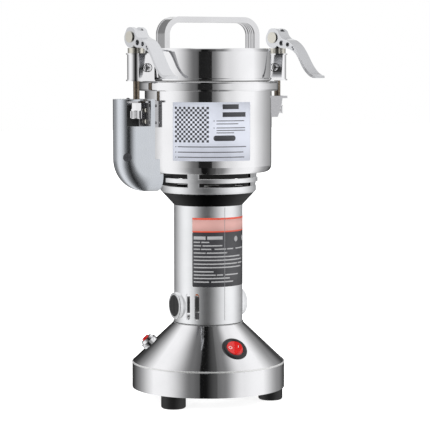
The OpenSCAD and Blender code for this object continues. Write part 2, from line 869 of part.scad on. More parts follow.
module heat_spacer() {
    h = bowl_z - neck_top_z;
    color(black) difference() {
        union() {
            tube_at(neck_top_z, h, spacer_r, spacer_r - spacer_wall);
            translate([-tongue_x, -tongue_half_w, tongue_z])
                cube([tongue_x - spacer_r + spacer_wall / 2, 2 * tongue_half_w, tongue_h]);
            tube_at(neck_top_z - web_t, h + web_t, web_hub_r, seal_r);
            tube_at(bowl_z - web_t, web_t, spacer_r, web_hub_r - spacer_wall);
        }
        translate([-2 * tongue_x, -tongue_half_w + tongue_wall, tongue_z + tongue_wall])
            cube([2 * tongue_x - spacer_r + 2 * spacer_wall, 2 * (tongue_half_w - tongue_wall),
                tongue_h - 2 * tongue_wall]);
        for (i = [0:7]) rotate([0, 0, 22.5 + i * 45])
            translate([spacer_r / 2, -spacer_window_w / 2, neck_top_z - over])
                cube([spacer_r, spacer_window_w, h - web_t - spacer_wall + over]);
    }
}

// Bowl

module bowl() {
    inner = bowl_r - bowl_wall;
    in_corner = bowl_corner_r - bowl_wall;
    color(bright) difference() {
        revolved(concat(
            [[seal_r, bowl_z]],
            arc([bowl_r - bowl_corner_r, bowl_z + bowl_corner_r], bowl_corner_r, -90, 0, 8),
            [[bowl_r, bowl_top_z], [inner, bowl_top_z]],
            arc([inner - in_corner, bowl_z + bowl_floor_t + in_corner], in_corner, 0, -90, 8),
            [[seal_r, bowl_z + bowl_floor_t]]
        ));
        for (a = post_angles) rotate([0, 0, a]) translate([bowl_screw_rho, 0, bowl_z - over])
            cylinder(h = bowl_floor_t + 2 * over, r = bowl_screw_r);
    }
}

module bowl_screws() {
    color(steel) for (a = post_angles) rotate([0, 0, a])
        translate([bowl_screw_rho, 0, bowl_z + bowl_floor_t])
            pan_screw(bowl_screw_r, bowl_floor_t + air_gap_high, 2 * bowl_screw_r, bowl_screw_r);
}

module shaft_seal() {
    color(black) revolved([
        [shoulder_r + play, bowl_z - seal_h], [seal_r, bowl_z - seal_h],
        [seal_r, bowl_z + bowl_floor_t], [seal_r + seal_lip, bowl_z + bowl_floor_t],
        [seal_r + seal_lip, bowl_z + bowl_floor_t + 0.6 * seal_lip],
        [shoulder_r + play, bowl_z + bowl_floor_t + seal_lip]
    ]);
}

module collar_ring() {
    e = collar_edge_r;
    color(bright) revolved(concat(
        [[bowl_r, collar_z]],
        arc([collar_r - e, collar_z + e], e, -90, 0, 5),
        arc([collar_r - e, collar_top_z - e], e, 0, 90, 5),
        [[bowl_r - collar_lip_in, collar_top_z], [bowl_r - collar_lip_in, bowl_top_z], [bowl_r, bowl_top_z]]
    ));
}

// Forks that hold the clamp nuts

// Slot for a rod: an arc about the motor axis, closed a little behind the rod, open where the lid turns to
module rod_slot(side, z, h, gap) {
    half_w = rod_r + gap;
    rotate([0, 0, (side > 0 ? 0 : 180) - atan(slot_deep / rod_x)]) {
        translate([rod_x, 0, z]) cylinder(h = h, r = half_w);
        rotate_extrude(angle = swing_out_a) translate([rod_x - half_w, z]) square([2 * half_w, h]);
    }
}

// Rolled leaf that is welded to the bowl
module bowl_leaf(z, h, half_w) {
    intersection() {
        tube_at(z, h, bowl_r + fork_leaf_t, bowl_r);
        translate([0, -half_w, z]) cube([2 * bowl_r, 2 * half_w, h]);
    }
}

module left_fork() {
    half_w = cover_half_w - cover_wall - side_gap;
    leaf_z = fork_left_z - leaf_left_h;
    h = fork_left_z + fork_left_t - leaf_z;
    color(steel) difference() {
        rotate([0, 0, 180]) union() {
            bowl_leaf(leaf_z, h, half_w);
            translate([bowl_r - fork_root, -fork_half_w, fork_left_z])
                cube([rod_x + fork_reach_left - bowl_r + fork_root, 2 * fork_half_w, fork_left_t]);
            for (s = [-1, 1]) translate([0, s > 0 ? half_w - bracket_flange_t : -half_w, leaf_z])
                cube([bracket_flange_x, bracket_flange_t, h]);
        }
        translate([0, 0, leaf_z - over]) cylinder(h = h + 2 * over, r = bowl_r);
        rod_slot(-1, fork_left_z - over, fork_left_t + 2 * over, slot_gap);
        rotate([0, 0, 180]) cover_screw_hole();
        for (lift = flange_hole_lifts) translate([-flange_hole_x, 0, leaf_z + lift]) rotate([90, 0, 0])
            cylinder(h = cover_half_w, r = flange_hole_r);
    }
}

module right_fork() {
    leaf_z = fork_right_z - gusset_h;
    h = gusset_h + fork_right_t;
    tip_x = rod_x + fork_reach_right;
    color(steel) difference() {
        union() {
            bowl_leaf(leaf_z, h, fork_half_w);
            translate([bowl_r - fork_root, -fork_half_w, fork_right_z])
                cube([tip_x - bowl_r + fork_root, 2 * fork_half_w, fork_right_t]);
            translate([0, -fork_half_w + gusset_t, 0]) rotate([90, 0, 0]) linear_extrude(gusset_t)
                polygon([for (p = gusset_shares)
                    [bowl_r + p[0] * (rod_x - bowl_r), leaf_z + p[1] * gusset_h]]);
        }
        translate([0, 0, leaf_z - over]) cylinder(h = h + 2 * over, r = bowl_r);
        rod_slot(1, fork_right_z - over, fork_right_t + 2 * over, slot_gap);
    }
}

// Interlock box

// Half outline of the cover in plan, outer end towards +X
module cover_outline(from, out_x, half_w, corner) {
    intersection() {
        union() {
            translate([from, -half_w]) square([out_x - corner - from, 2 * half_w]);
            translate([from, -half_w + corner]) square([out_x - from, 2 * (half_w - corner)]);
            for (s = [-1, 1]) translate([out_x - corner, s * (half_w - corner)]) circle(r = corner);
        }
        translate([from, -half_w]) square([out_x - from, 2 * half_w]);
    }
}

// The cover's form, drawn in by an inset: an upright box that bends in under the bowl
module cover_form(inset, top, end_x) {
    out_x = cover_x - inset;
    half_w = cover_half_w - inset;
    corner = cover_corner_r - inset;
    bend_r = cover_bend_r - inset;
    translate([0, 0, cover_bend_z]) linear_extrude(top - cover_bend_z)
        cover_outline(cover_back_x, out_x, half_w, corner);
    translate([cover_bend_x, 0, cover_bend_z]) rotate([90, 90, 0])
        rotate_extrude(angle = 90) cover_outline(0, bend_r, half_w, corner);
    translate([end_x, 0, cover_bend_z]) rotate([0, 90, 0]) linear_extrude(cover_bend_x - end_x)
        cover_outline(0, bend_r, half_w, corner);
}

module interlock_cover() {
    bowl_room = bowl_r + side_gap;
    color(alu) difference() {
        rotate([0, 0, 180]) difference() {
            cover_form(0, cover_top_z, cover_end_x);
            cover_form(cover_wall, cover_top_z - cover_top_t, cover_end_x + cover_wall);
            translate([window_right_x, 0, window_z])
                cube([window_left_x - window_right_x, 2 * cover_half_w, window_h]);
            translate([cover_end_x - over, -tongue_half_w, tongue_z])
                cube([cover_wall + 2 * over, 2 * tongue_half_w, tongue_h]);
            cover_plug() translate([0, 0, -2 * cover_wall]) cylinder(h = 4 * cover_wall, r = plug_r);
            cover_screw_hole();
        }
        translate([0, 0, bowl_z - side_gap]) cylinder(h = bowl_h + over, r = bowl_room);
        rod_slot(-1, cover_top_z - cover_top_t - over, cover_top_t + 2 * over, cover_slot_gap);
    }
}

// Bore of the screw that holds the cover to the left fork
module cover_screw_hole() {
    translate([cover_screw_x, cover_screw_y, fork_left_z - over])
        cylinder(h = cover_top_z - fork_left_z + 2 * over, r = cover_screw_r);
}

// Places children on the cover's lower front corner, their Z pointing out of it
module cover_plug() {
    translate([cover_x - cover_corner_r, cover_half_w - cover_corner_r, cover_bend_z + plug_r / 2])
        rotate([0, 90, plug_turn]) translate([0, 0, cover_corner_r]) children();
}

module cover_screws() {
    color(dark_steel) rotate([0, 0, 180]) {
        translate([cover_screw_x, cover_screw_y, cover_top_z])
            pan_screw(cover_screw_r, 2 * cover_top_t, 2 * cover_screw_r, cover_screw_r);
        cover_plug() difference() {
            translate([0, 0, -cover_wall]) cylinder(h = 0.7 * cover_wall, r = plug_r);
            for (a = [0, 90]) rotate([0, 0, a]) translate([-0.6 * plug_r, -0.1 * plug_r, -0.6 * cover_wall])
                cube([1.2 * plug_r, 0.2 * plug_r, cover_wall]);
        }
    }
}

module microswitch() {
    color(black) rotate([0, 0, 180]) difference() {
        translate([rod_x - switch_w / 2, -cover_half_w + cover_wall, switch_z])
            cube([switch_w, cover_half_w - cover_wall - switch_y, switch_tall]);
        translate([rod_x, -nut_r - plunger_len - 2 * side_gap, plunger_z]) rotate([-90, 0, 0])
            cylinder(h = plunger_len, r = plunger_r + play);
    }
}

module switch_plunger() {
    color(red) rotate([0, 0, 180]) translate([rod_x, -nut_r - seat_gap, plunger_z]) rotate([90, 0, 0])
        cylinder(h = plunger_len, r = plunger_r);
}

// Lid

module lid_shell() {
    o = lid_r;
    w = lid_wall;
    e = lid_edge_r;
    color(bright) difference() {
        revolved(concat(
            [[o - w, lid_z], [o + lid_bead, lid_z],
             [o + lid_bead, lid_z + 2 * lid_bead], [o, lid_z + 3 * lid_bead]],
            arc([o - e, lid_top_z - e], e, 0, 90, 6),
            [[0, lid_top_z], [0, lid_top_z - w]],
            arc([o - e, lid_top_z - e], e - w, 90, 0, 6)
        ));
        for (s = [-1, 1]) translate([s * handle_screw_x, 0, lid_top_z - 2 * w])
            cylinder(h = 4 * w, r = handle_screw_r);
    }
}

module lid_seal() {
    out = lid_r - lid_wall;
    color("whitesmoke") revolved([
        [out - lid_seal_in, collar_top_z + seat_gap], [out, collar_top_z + seat_gap],
        [out, lid_z + lid_seal_h], [out - lid_seal_in / 2, lid_z + lid_seal_h],
        [out - lid_seal_in / 2, lid_z + lid_seal_h / 2], [out - lid_seal_in, lid_z + lid_seal_h / 2]
    ]);
}

// A round-shouldered arch in X and Z, from the lid's top
module arch(w, h, r) {
    intersection() {
        union() {
            translate([-w / 2, 0]) square([w, h - r]);
            translate([-w / 2 + r, 0]) square([w - 2 * r, h]);
            for (s = [-1, 1]) translate([s * (w / 2 - r), h - r]) circle(r = r);
        }
        translate([-w / 2, 0]) square([w, h]);
    }
}

// The handle's strap between two depths, drawn in from outside and with a given thickness
module strap(y, d, inset, t) {
    in = inset + t;
    translate([0, y + d, lid_top_z]) rotate([90, 0, 0]) linear_extrude(d) difference() {
        arch(handle_w - 2 * inset, handle_h - inset, handle_corner_r - inset);
        translate([0, -over]) arch(handle_w - 2 * in, handle_h - in + over, handle_corner_r - in);
    }
}

module lid_handle() {
    step = (handle_d - 2 * handle_rim) / (handle_rib_n + 1);
    color(bright) difference() {
        union() {
            strap(-handle_d / 2, handle_d, handle_sink, handle_floor_t);
            for (y = [-handle_d / 2, handle_d / 2 - handle_rim]) strap(y, handle_rim, 0, handle_t);
            for (i = [1:handle_rib_n]) strap(-handle_d / 2 + handle_rim + i * step - handle_rib_w / 2,
                handle_rib_w, handle_sink + handle_floor_t / 2, handle_floor_t / 2 + handle_rib_t);
        }
        for (s = [-1, 1]) translate([s * handle_screw_x, 0, lid_top_z - over])
            cylinder(h = handle_screw_in + over, r = handle_screw_r);
    }
}

module handle_screws() {
    color(steel) for (s = [-1, 1]) translate([s * handle_screw_x, 0, lid_top_z - lid_wall]) mirror([0, 0, 1])
        pan_screw(handle_screw_r, handle_screw_in, 2 * handle_screw_r, handle_screw_r);
}

// Clamp ears on the lid

module lid_saddles() {
    color(bright) for (side = [0, 180]) rotate([0, 0, side]) intersection() {
        tube_at(lid_z, lid_h, lid_r + saddle_t, lid_r);
        rotate([90, 0, 90]) linear_extrude(2 * lid_r) polygon([
            [-saddle_low_w / 2, ear_z + saddle_lift], [saddle_low_w / 2, ear_z + saddle_lift],
            [saddle_high_w / 2, ear_top_z + ear_plate_t], [-saddle_high_w / 2, ear_top_z + ear_plate_t]
        ]);
    }
}

// Plan of an ear about its rod: a round end and two flat sides that run in to the lid
module ear_plan(r) {
    translate([rod_x, 0]) circle(r = r);
    translate([0, -r]) square([rod_x, 2 * r]);
}

module lid_ears() {
    saddle_r = lid_r + saddle_t;
    color(bright) for (side = [0, 180]) rotate([0, 0, side]) difference() {
        translate([0, 0, ear_z]) linear_extrude(ear_h) difference() {
            ear_plan(ear_r);
            ear_plan(ear_r - ear_wall);
            circle(r = saddle_r);
        }
        translate([ear_screw_x, 2 * ear_r, ear_screw_z]) rotate([90, 0, 0])
            cylinder(h = 4 * ear_r, r = ear_screw_r);
    }
}

module ear_plates() {
    saddle_r = lid_r + saddle_t;
    color(bright) for (side = [0, 180], z = [ear_z - ear_plate_t, ear_top_z]) rotate([0, 0, side])
        translate([0, 0, z]) linear_extrude(ear_plate_t) difference() {
            ear_plan(ear_r + ear_plate_over);
            circle(r = saddle_r);
            translate([rod_x, 0]) circle(r = rod_r + play);
        }
}

module ear_screws() {
    color(steel) for (side = [0, 1]) mirror([side, 0, 0]) translate([ear_screw_x, -ear_r, ear_screw_z]) {
        rotate([90, 0, 0]) pan_screw(ear_screw_r, 2 * ear_r + ear_head_t, ear_head_r, ear_head_t);
        translate([0, 2 * ear_r, 0]) rotate([-90, 0, 0])
            cylinder(h = ear_head_t, r = ear_head_r, $fn = 6);
    }
}

// Clamps, each about its rod and turned to its lever's direction

module at_rod(side, a) {
    translate([side * rod_x, 0, 0]) rotate([0, 0, a]) children();
}

module washers(side) {
    color(steel) at_rod(side, 0) for (i = [0, 1])
        tube_at(washer_z + i * washer_t, washer_t, washer_r, rod_r + play);
}

module clamp_rod(side, a, plate_z) {
    foot_z = plate_z - seat_gap - nut_h;
    color(dark_steel) at_rod(side, a) difference() {
        union() {
            translate([0, 0, foot_z]) cylinder(h = pin_z - foot_z, r = rod_r);
            translate([0, rod_eye_w / 2, pin_z]) rotate([90, 0, 0]) cylinder(h = rod_eye_w, r = rod_eye_r);
        }
        translate([0, rod_eye_w, pin_z]) rotate([90, 0, 0]) cylinder(h = 2 * rod_eye_w, r = pin_r);
    }
}

module barrel_nut(side, plate_z) {
    top = plate_z - seat_gap;
    color(steel) at_rod(side, 0) difference() {
        union() {
            tube_at(top - nut_h, nut_h - nut_hex_h, nut_r, rod_r);
            translate([0, 0, top - nut_hex_h]) cylinder(h = nut_hex_h, r = nut_r, $fn = 6);
        }
        translate([0, 0, top - 2 * nut_h]) cylinder(h = 3 * nut_h, r = rod_r);
        translate([-2 * nut_r, -nut_slot_w / 2, top - 0.8 * nut_hex_h]) cube([4 * nut_r, nut_slot_w, nut_h]);
    }
}

module cam_pin(side, a) {
    color(steel) at_rod(side, a) translate([0, 0, pin_z]) rotate([90, 0, 0]) {
        translate([0, 0, -lever_w / 2 - play]) cylinder(h = lever_w + 2 * play, r = pin_r);
        for (s = [0, 1]) mirror([0, 0, s]) translate([0, 0, lever_w / 2 + play])
            cylinder(h = pin_head_t, r = pin_head_r);
    }
}

// Distance from the pin to a flat follower when the lever has opened by an angle: it falls evenly,
// so the working face is the involute of a small circle
cam_k = cam_lift / (lever_swing * PI / 180);
function cam_h(a) = cam_lock - cam_lift * a / lever_swing;
function cam_point(a) = [-cam_h(a) * sin(a) + cam_k * cos(a), -cam_h(a) * cos(a) - cam_k * sin(a)];

// Control points of a lever's side view, in shares of its reach
lever_top_shares = [[0.135, 0.102], [0.163, 0.041], [0.194, -0.012], [0.276, -0.029], [0.551, -0.092],
    [0.622, -0.367], [0.776, -0.551], [0.847, -0.637], [0.918, -0.694], [1, -0.698]];
lever_back_shares = [[1.008, -0.743], [0.898, -0.755], [0.786, -0.653], [0.704, -0.541], [0.622, -0.418],
    [0.582, -0.296], [0.459, -0.237]];
// The cheeks' foot and the notch beside the cam, in shares of the reach and of the locked cam
lever_foot_shares = [[0.337, -0.99], [0.208, -0.99], [0.155, -0.917], [0.108, -0.76], [0.069, -0.938]];
// Pits in the cheeks, and the two that make the slit, each with its radius, in shares of the reach
lever_pit_shares = [
    [0.212, -0.102, 0.051], [0.359, -0.129, 0.041], [0.471, -0.178, 0.018], [0.493, -0.215, 0.018]
];
lever_pit_d = 2.2;

// A stretch of a shares table as a cubic curve
function share_curve(table, from, n) =
    curve([for (i = [from:from + 3]) lever_reach * table[i]], n);

// Side view of a lever about its pin, the tip towards +X
function lever_outline() = concat(
    [for (i = [0:12]) cam_point(i * lever_swing / 12)],
    arc([0, 0], eye_r, 120, 42, 12),
    share_curve(lever_top_shares, 0, 6), share_curve(lever_top_shares, 3, 12),
    share_curve(lever_top_shares, 6, 6),
    share_curve(lever_back_shares, 0, 6), share_curve(lever_back_shares, 3, 8),
    [for (p = lever_foot_shares) [lever_reach * p[0], cam_lock * p[1]]]
);

module lever(side, a) {
    color(bright) at_rod(side, a) translate([0, 0, pin_z]) difference() {
        translate([0, lever_w / 2, 0]) rotate([90, 0, 0]) linear_extrude(lever_w) polygon(lever_outline());
        translate([-2 * eye_r, -lever_slot / 2, -2 * eye_r])
            cube([2 * eye_r + rod_eye_r + seat_step, lever_slot, 4 * eye_r]);
        translate([0, lever_w, 0]) rotate([90, 0, 0]) cylinder(h = 2 * lever_w, r = pin_r + play);
        for (s = [0, 1], p = lever_pit_shares) mirror([0, s, 0])
            translate([lever_reach * p[0], lever_w / 2 + over, lever_reach * p[1]]) rotate([90, 0, 0])
                cylinder(h = lever_pit_d + over, r = lever_reach * p[2]);
    }
}

// Cutters

// A two-winged cutter; its wings' tips turn by an angle about the wing's length
module cutter(z, tip_a, turn) {
    root = cutter_root_share * cutter_r;
    color(steel) rotate([0, 0, turn]) translate([0, 0, z]) difference() {
        union() {
            cylinder(h = cutter_t, r = cutter_hub_r);
            for (s = [0, 180]) rotate([0, 0, s]) {
                linear_extrude(cutter_t) polygon([
                    [0, -cutter_w / 2], [root, -cutter_w / 2], [root, cutter_w / 4], [0, cutter_w / 2]
                ]);
                translate([root, 0, 0]) rotate([0, -tip_a, 0]) linear_extrude(cutter_t) polygon([
                    [-cutter_t / 2, -cutter_w / 2], [cutter_r - root, -cutter_w / 4],
                    [cutter_r - root - cutter_t, cutter_w / 8], [-cutter_t / 2, cutter_w / 4]
                ]);
            }
        }
        translate([0, 0, -over]) cylinder(h = cutter_t + 2 * over, r = shaft_r);
    }
}

module lower_cutter() { cutter(cutter_low_z, -cutter_tip_a / 3, 20); }

module upper_cutter() { cutter(cutter_high_z, cutter_tip_a, 110); }

module cutter_spacer() {
    z = cutter_low_z + cutter_t;
    color(steel) tube_at(z, cutter_high_z - z, spacer_out_r, shaft_r);
}

module cutter_nut() {
    z = cutter_high_z + cutter_t;
    color(steel) difference() {
        union() {
            translate([0, 0, z]) cylinder(h = top_washer_t, r = cutter_hub_r);
            translate([0, 0, z + top_washer_t])
                cylinder(h = top_nut_h - top_washer_t, r = spacer_out_r, $fn = 6);
        }
        translate([0, 0, z - over]) cylinder(h = top_nut_h + 2 * over, r = shaft_r);
    }
}

base_shell();
base_plate();
rubber_feet();
foot_screws();
cord_gland();
rocker_bezel();
rocker();
reset_breaker();
reset_nut();
reset_button();
motor_tube();
brush_housings();
brush_caps();
carbon_brushes();
brush_springs();
bearing_bracket();
shaft_bearings();
stator_core();
field_coils();
neck_housing();
vent_neck();
heat_spacer();
bowl();
bowl_screws();
shaft_seal();
collar_ring();
left_fork();
right_fork();
interlock_cover();
cover_screws();
microswitch();
switch_plunger();
motor_shaft();
rotor_core();
rotor_windings();
commutator();
cooling_fan();
lower_cutter();
cutter_spacer();
upper_cutter();
cutter_nut();
lid_shell();
lid_seal();
lid_handle();
handle_screws();
lid_saddles();
lid_ears();
ear_plates();
ear_screws();
washers(-1);  // washers_left
washers(1);  // washers_right
clamp_rod(-1, lever_left_a, fork_left_z);  // clamp_rod_left
clamp_rod(1, lever_right_a, fork_right_z);  // clamp_rod_right
barrel_nut(-1, fork_left_z);  // barrel_nut_left
barrel_nut(1, fork_right_z);  // barrel_nut_right
cam_pin(-1, lever_left_a);  // cam_pin_left
cam_pin(1, lever_right_a);  // cam_pin_right
lever(-1, lever_left_a);  // cam_lever_left
lever(1, lever_right_a);  // cam_lever_right
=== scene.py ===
"""Looks of the electric grain mill: materials, labels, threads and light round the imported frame."""

import math

import bmesh
import bpy
from mathutils import Matrix, Vector


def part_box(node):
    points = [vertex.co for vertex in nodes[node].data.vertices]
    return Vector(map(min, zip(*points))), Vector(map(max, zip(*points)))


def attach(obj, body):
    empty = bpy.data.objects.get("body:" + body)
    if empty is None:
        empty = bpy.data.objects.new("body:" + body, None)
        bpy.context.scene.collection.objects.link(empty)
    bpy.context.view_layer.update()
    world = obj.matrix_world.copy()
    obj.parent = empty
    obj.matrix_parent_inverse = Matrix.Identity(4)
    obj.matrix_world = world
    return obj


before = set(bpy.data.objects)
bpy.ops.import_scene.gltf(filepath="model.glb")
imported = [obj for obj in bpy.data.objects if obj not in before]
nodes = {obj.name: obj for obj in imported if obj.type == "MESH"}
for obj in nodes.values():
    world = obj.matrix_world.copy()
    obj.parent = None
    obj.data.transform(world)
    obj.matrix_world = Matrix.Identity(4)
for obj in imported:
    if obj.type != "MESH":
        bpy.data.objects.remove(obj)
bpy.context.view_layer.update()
MM = 0.001


# Colours


def srgb(code):
    """An sRGB hex colour as the linear values that shaders take."""
    parts = [int(code[i : i + 2], 16) / 255 for i in (0, 2, 4)]
    linear = [c / 12.92 if c <= 0.04045 else ((c + 0.055) / 1.055) ** 2.4 for c in parts]
    return (*linear, 1.0)


def shaded(code, factor, lift=0.0):
    """A hex colour made darker or lighter."""
    return (*(min(1, c * factor + lift) for c in srgb(code)[:3]), 1.0)


def grey(level):
    """A grey of a linear brightness, for light and for masks."""
    return (level, level, level, 1.0)


# Shader and geometry nodes


def add(tree, kind, values=(), stops=(), eased=False, **settings):
    """Adds a node with its settings and links, and the stops of its colour ramp, (place, grey or colour).

    values fill the sockets in their order, or by name or number where they are a dict. A socket among them
    is linked, and so is a node, by its first output. An eased ramp is soft at each of its stops.
    """
    family = "" if "Node" in kind else {"SHADER": "ShaderNode", "GEOMETRY": "GeometryNode"}[tree.type]
    made = tree.nodes.new(family + kind)
    for key, value in settings.items():
        setattr(made, key, value)
    for key, value in (values if isinstance(values, dict) else dict(enumerate(values))).items():
        if isinstance(value, bpy.types.Node):
            value = value.outputs[0]
        if isinstance(value, bpy.types.NodeSocket):
            tree.links.new(value, made.inputs[key])
        else:
            made.inputs[key].default_value = value
    if stops:
        made.color_ramp.interpolation = "EASE" if eased else "LINEAR"
        elements = made.color_ramp.elements
        while len(elements) < len(stops):
            elements.new(0.5)
        for element, (place, colour) in zip(elements, stops):
            element.position = place
            element.color = colour if isinstance(colour, tuple) else grey(colour)
    return made


def new_object(name, data):
    """A new object in the scene, at the origin."""
    made = bpy.data.objects.new(name, data)
    bpy.context.scene.collection.objects.link(made)
    return made


# Materials on Object coordinates, with the sizes of their patterns in millimetres

# Patches left by handling, two fingers wide on metal and one on plastic
CLOUD_METAL, CLOUD_PLASTIC = 28.6, 16.7
# Most values of a noise lie between these two
NOISE_LOW, NOISE_HIGH = 0.3, 0.7
# How far a plastic's roughness strays to each side
ROUGH_SPREAD = 0.05


def pattern(tree, size, detail=2.0):
    """Noise with patches of one size, or of a size along each of the piece's axes."""
    sizes = size if isinstance(size, tuple) else (size, size, size)
    place = add(tree, "TexCoord").outputs["Object"]
    scaled = add(tree, "Mapping", {"Vector": place, "Scale": [1 / (s * MM) for s in sizes]})
    return add(tree, "TexNoise", {"Vector": scaled, "Scale": 1.0, "Detail": detail})


def material(name):
    """A new material with a Principled shader, and its tree and shader."""
    made = bpy.data.materials.new(name)
    made.use_nodes = True
    tree = made.node_tree
    return made, tree, tree.nodes["Principled BSDF"]


def roughen(tree, shader, size, low, high, bump, depth, detail=2.0):
    """Roughness between two values and a bump, both from one pattern."""
    value = pattern(tree, size, detail)
    limits = {"Value": value, "From Min": NOISE_LOW, "From Max": NOISE_HIGH, "To Min": low, "To Max": high}
    tree.links.new(add(tree, "MapRange", limits).outputs["Result"], shader.inputs["Roughness"])
    made = add(tree, "Bump", {"Height": value, "Strength": bump, "Distance": depth * MM})
    tree.links.new(made.outputs["Normal"], shader.inputs["Normal"])


def metal(name, colour, low, high, size, bump=0.05, depth=0.1, worn=0.04):
    """Metal whose fine lines run along the axes on which its pattern is long."""
    made, tree, shader = material(name)
    shader.inputs["Metallic"].default_value = 1.0
    roughen(tree, shader, size, low, high, bump, depth)
    stops = ((0.35, shaded(colour, 1 - worn)), (0.65, srgb(colour)))
    tint = add(tree, "ValToRGB", (pattern(tree, CLOUD_METAL, 4.0),), stops, eased=True)
    tree.links.new(tint.outputs["Color"], shader.inputs["Base Color"])
    return made


def plastic(name, colour, rough, grain=1.1, bump=0.08, coat=0.0):
    """Plastic, rubber, paint or film, with slightly lighter clouds.

    The grain is drawn a few times as coarse as a real one, so that it shows from near.
    """
    made, tree, shader = material(name)
    shader.inputs["Coat Weight"].default_value = coat
    roughen(tree, shader, grain, rough - ROUGH_SPREAD, rough + ROUGH_SPREAD, bump, 0.2, detail=3.0)
    stops = ((0.3, srgb(colour)), (0.7, shaded(colour, 1.15, 0.004)))
    tint = add(tree, "ValToRGB", (pattern(tree, CLOUD_PLASTIC),), stops)
    tree.links.new(tint.outputs["Color"], shader.inputs["Base Color"])
    return made


def paint_gap_shade(finish, radius):
    """Paints shade into a finish: black nearer to the motor axis than a radius, where the air gaps are in
    shade.
    """
    tree = finish.node_tree
    shader = tree.nodes["Principled BSDF"]
    place = add(tree, "SeparateXYZ", (add(tree, "TexCoord").outputs["Object"],)).outputs
    depth = add(tree, "Math", (place["Y"], place["Y"]), operation="MULTIPLY")
    square = add(tree, "Math", (place["X"], place["X"], depth), operation="MULTIPLY_ADD")
    near = add(tree, "Math", (square, (radius * MM) ** 2), operation="LESS_THAN")
    colour = shader.inputs["Base Color"].links[0].from_socket
    # Painted shade: near black inside the radius
    tint = add(tree, "Mix", {"Factor": near, 6: colour, 7: srgb("0B0B0C")}, data_type="RGBA")
    tree.links.new(tint.outputs[2], shader.inputs["Base Color"])


# Polishing, brushing and grit leave lines and pits of a few hundredths of a millimetre. They are too fine to
# show, so these three are drawn ten times as coarse and more
RINGS = (71, 71, 0.385)
ALL_WAYS = 1.43
DOWN = (0.417, 0.417, 55.6)

# Mirror bright, with fine rings left by the polishing wheel: the dark strip of the studio stays crisp in it
polished = metal("polished stainless steel", "E8E8EA", 0.04, 0.09, RINGS, bump=0.03, depth=0.05)
# Plain sheet, wiped but not polished, so its edges glow softly
satin_steel = metal("satin steel sheet", "B9B9BC", 0.22, 0.34, ALL_WAYS)
# A slightly yellow, broken shine on the small turned and stamped pieces
zinc_steel = metal("zinc plated steel", "D2CFC6", 0.14, 0.26, ALL_WAYS)
# Brown grey and uneven, as a rolled thread that is handled often
dull_steel = metal("rolled plain steel", "8B8073", 0.3, 0.45, ALL_WAYS, worn=0.25)
# Brighter and rougher than the polished base, as painted highlight on the rounded crease, so that it catches
# light all the way round
crease_painted_highlight = metal("stainless steel brightened with painted highlight", "F6F6F6", 0.5, 0.6, ALL_WAYS)
# Softer than chrome on steel, with the orange peel of a cast surface, a few millimetres from hump to hump
cast_metal = metal("satin chromed zinc casting", "D2D3D6", 0.14, 0.22, 4.55, bump=0.1, worn=0.03)
# The brightest and smoothest finish, for what is screwed into the base
chrome = metal("bright chromed steel", "E9E9EB", 0.04, 0.09, ALL_WAYS, bump=0.02)
# Brushed round the tube: the strip spreads into a soft grey band
aluminium = metal("brushed aluminium", "F1F2F4", 0.34, 0.44, RINGS, bump=0.06)
# The same metal round the air gaps, with painted shade: black where the gaps are in shade
aluminium_painted_gap_shade = metal("brushed aluminium with painted gap shade", "F1F2F4", 0.34, 0.44, RINGS, bump=0.06)
GAP_SHADE_R = 41.6
paint_gap_shade(aluminium_painted_gap_shade, GAP_SHADE_R)
# Cooler than the bowl and brushed downwards
cover_metal = metal("brushed stainless cover sheet", "CFD3D9", 0.2, 0.3, DOWN, bump=0.06)
# Bright along the rims and brushed along the strap
handle_metal = metal("polished steel strap", "DADADC", 0.08, 0.16, (0.455, 33.3, 33.3), bump=0.03)
# Blackened heads that stand out from the bright ears
black_steel = metal("blackened steel", "4A4A4C", 0.2, 0.32, ALL_WAYS)
# Varnish over copper, seen only through the slots; the bumps are as wide as the wires
copper = metal("enamelled copper wire", "B4683A", 0.3, 0.45, 1.11, bump=0.3)
# Stacked sheets of half a millimetre, their edges as fine lines
core_iron = metal("laminated core steel", "55565A", 0.35, 0.5, (50, 50, 0.25), bump=0.3)
# Black phenolic made near black and without shine as painted shade, so that the air gaps read as dark slits
matt_black = plastic("matt black phenolic", "09090A", 0.75)
# Moulded with a fine grain that keeps it from shining
black_plastic = plastic("moulded black ABS", "17181A", 0.42)
# Grey, to part it from the black round it
grey_plastic = plastic("moulded dark grey ABS", "3F4044", 0.4)
# Dusty and without shine
carbon = plastic("sintered carbon", "1E1F22", 0.6)
# Dull and slightly mottled, as feet that have stood for a while
rubber = plastic("moulded black rubber", "0D0D0E", 0.55, grain=0.71)
# The underside, sprayed and baked
dark_paint = plastic("dark powder coat", "1C1D20", 0.5, grain=0.455, bump=0.2)
# Glossy and saturated, the only strong colour of the base
red_gloss = plastic("glossy red polycarbonate", "D0130E", 0.2, grain=3.33, bump=0.0, coat=0.3)
# A grey silicone lip, darkened as painted shade so that it reads as the dark line of shade between lid and
# collar
seal_painted_shade = plastic("grey silicone darkened with painted shade", "6F6F6E", 0.5)
# The shade in a crossed recess or a joint: black, and without shine
recess = plastic("shaded steel recess", "0B0B0C", 0.6)

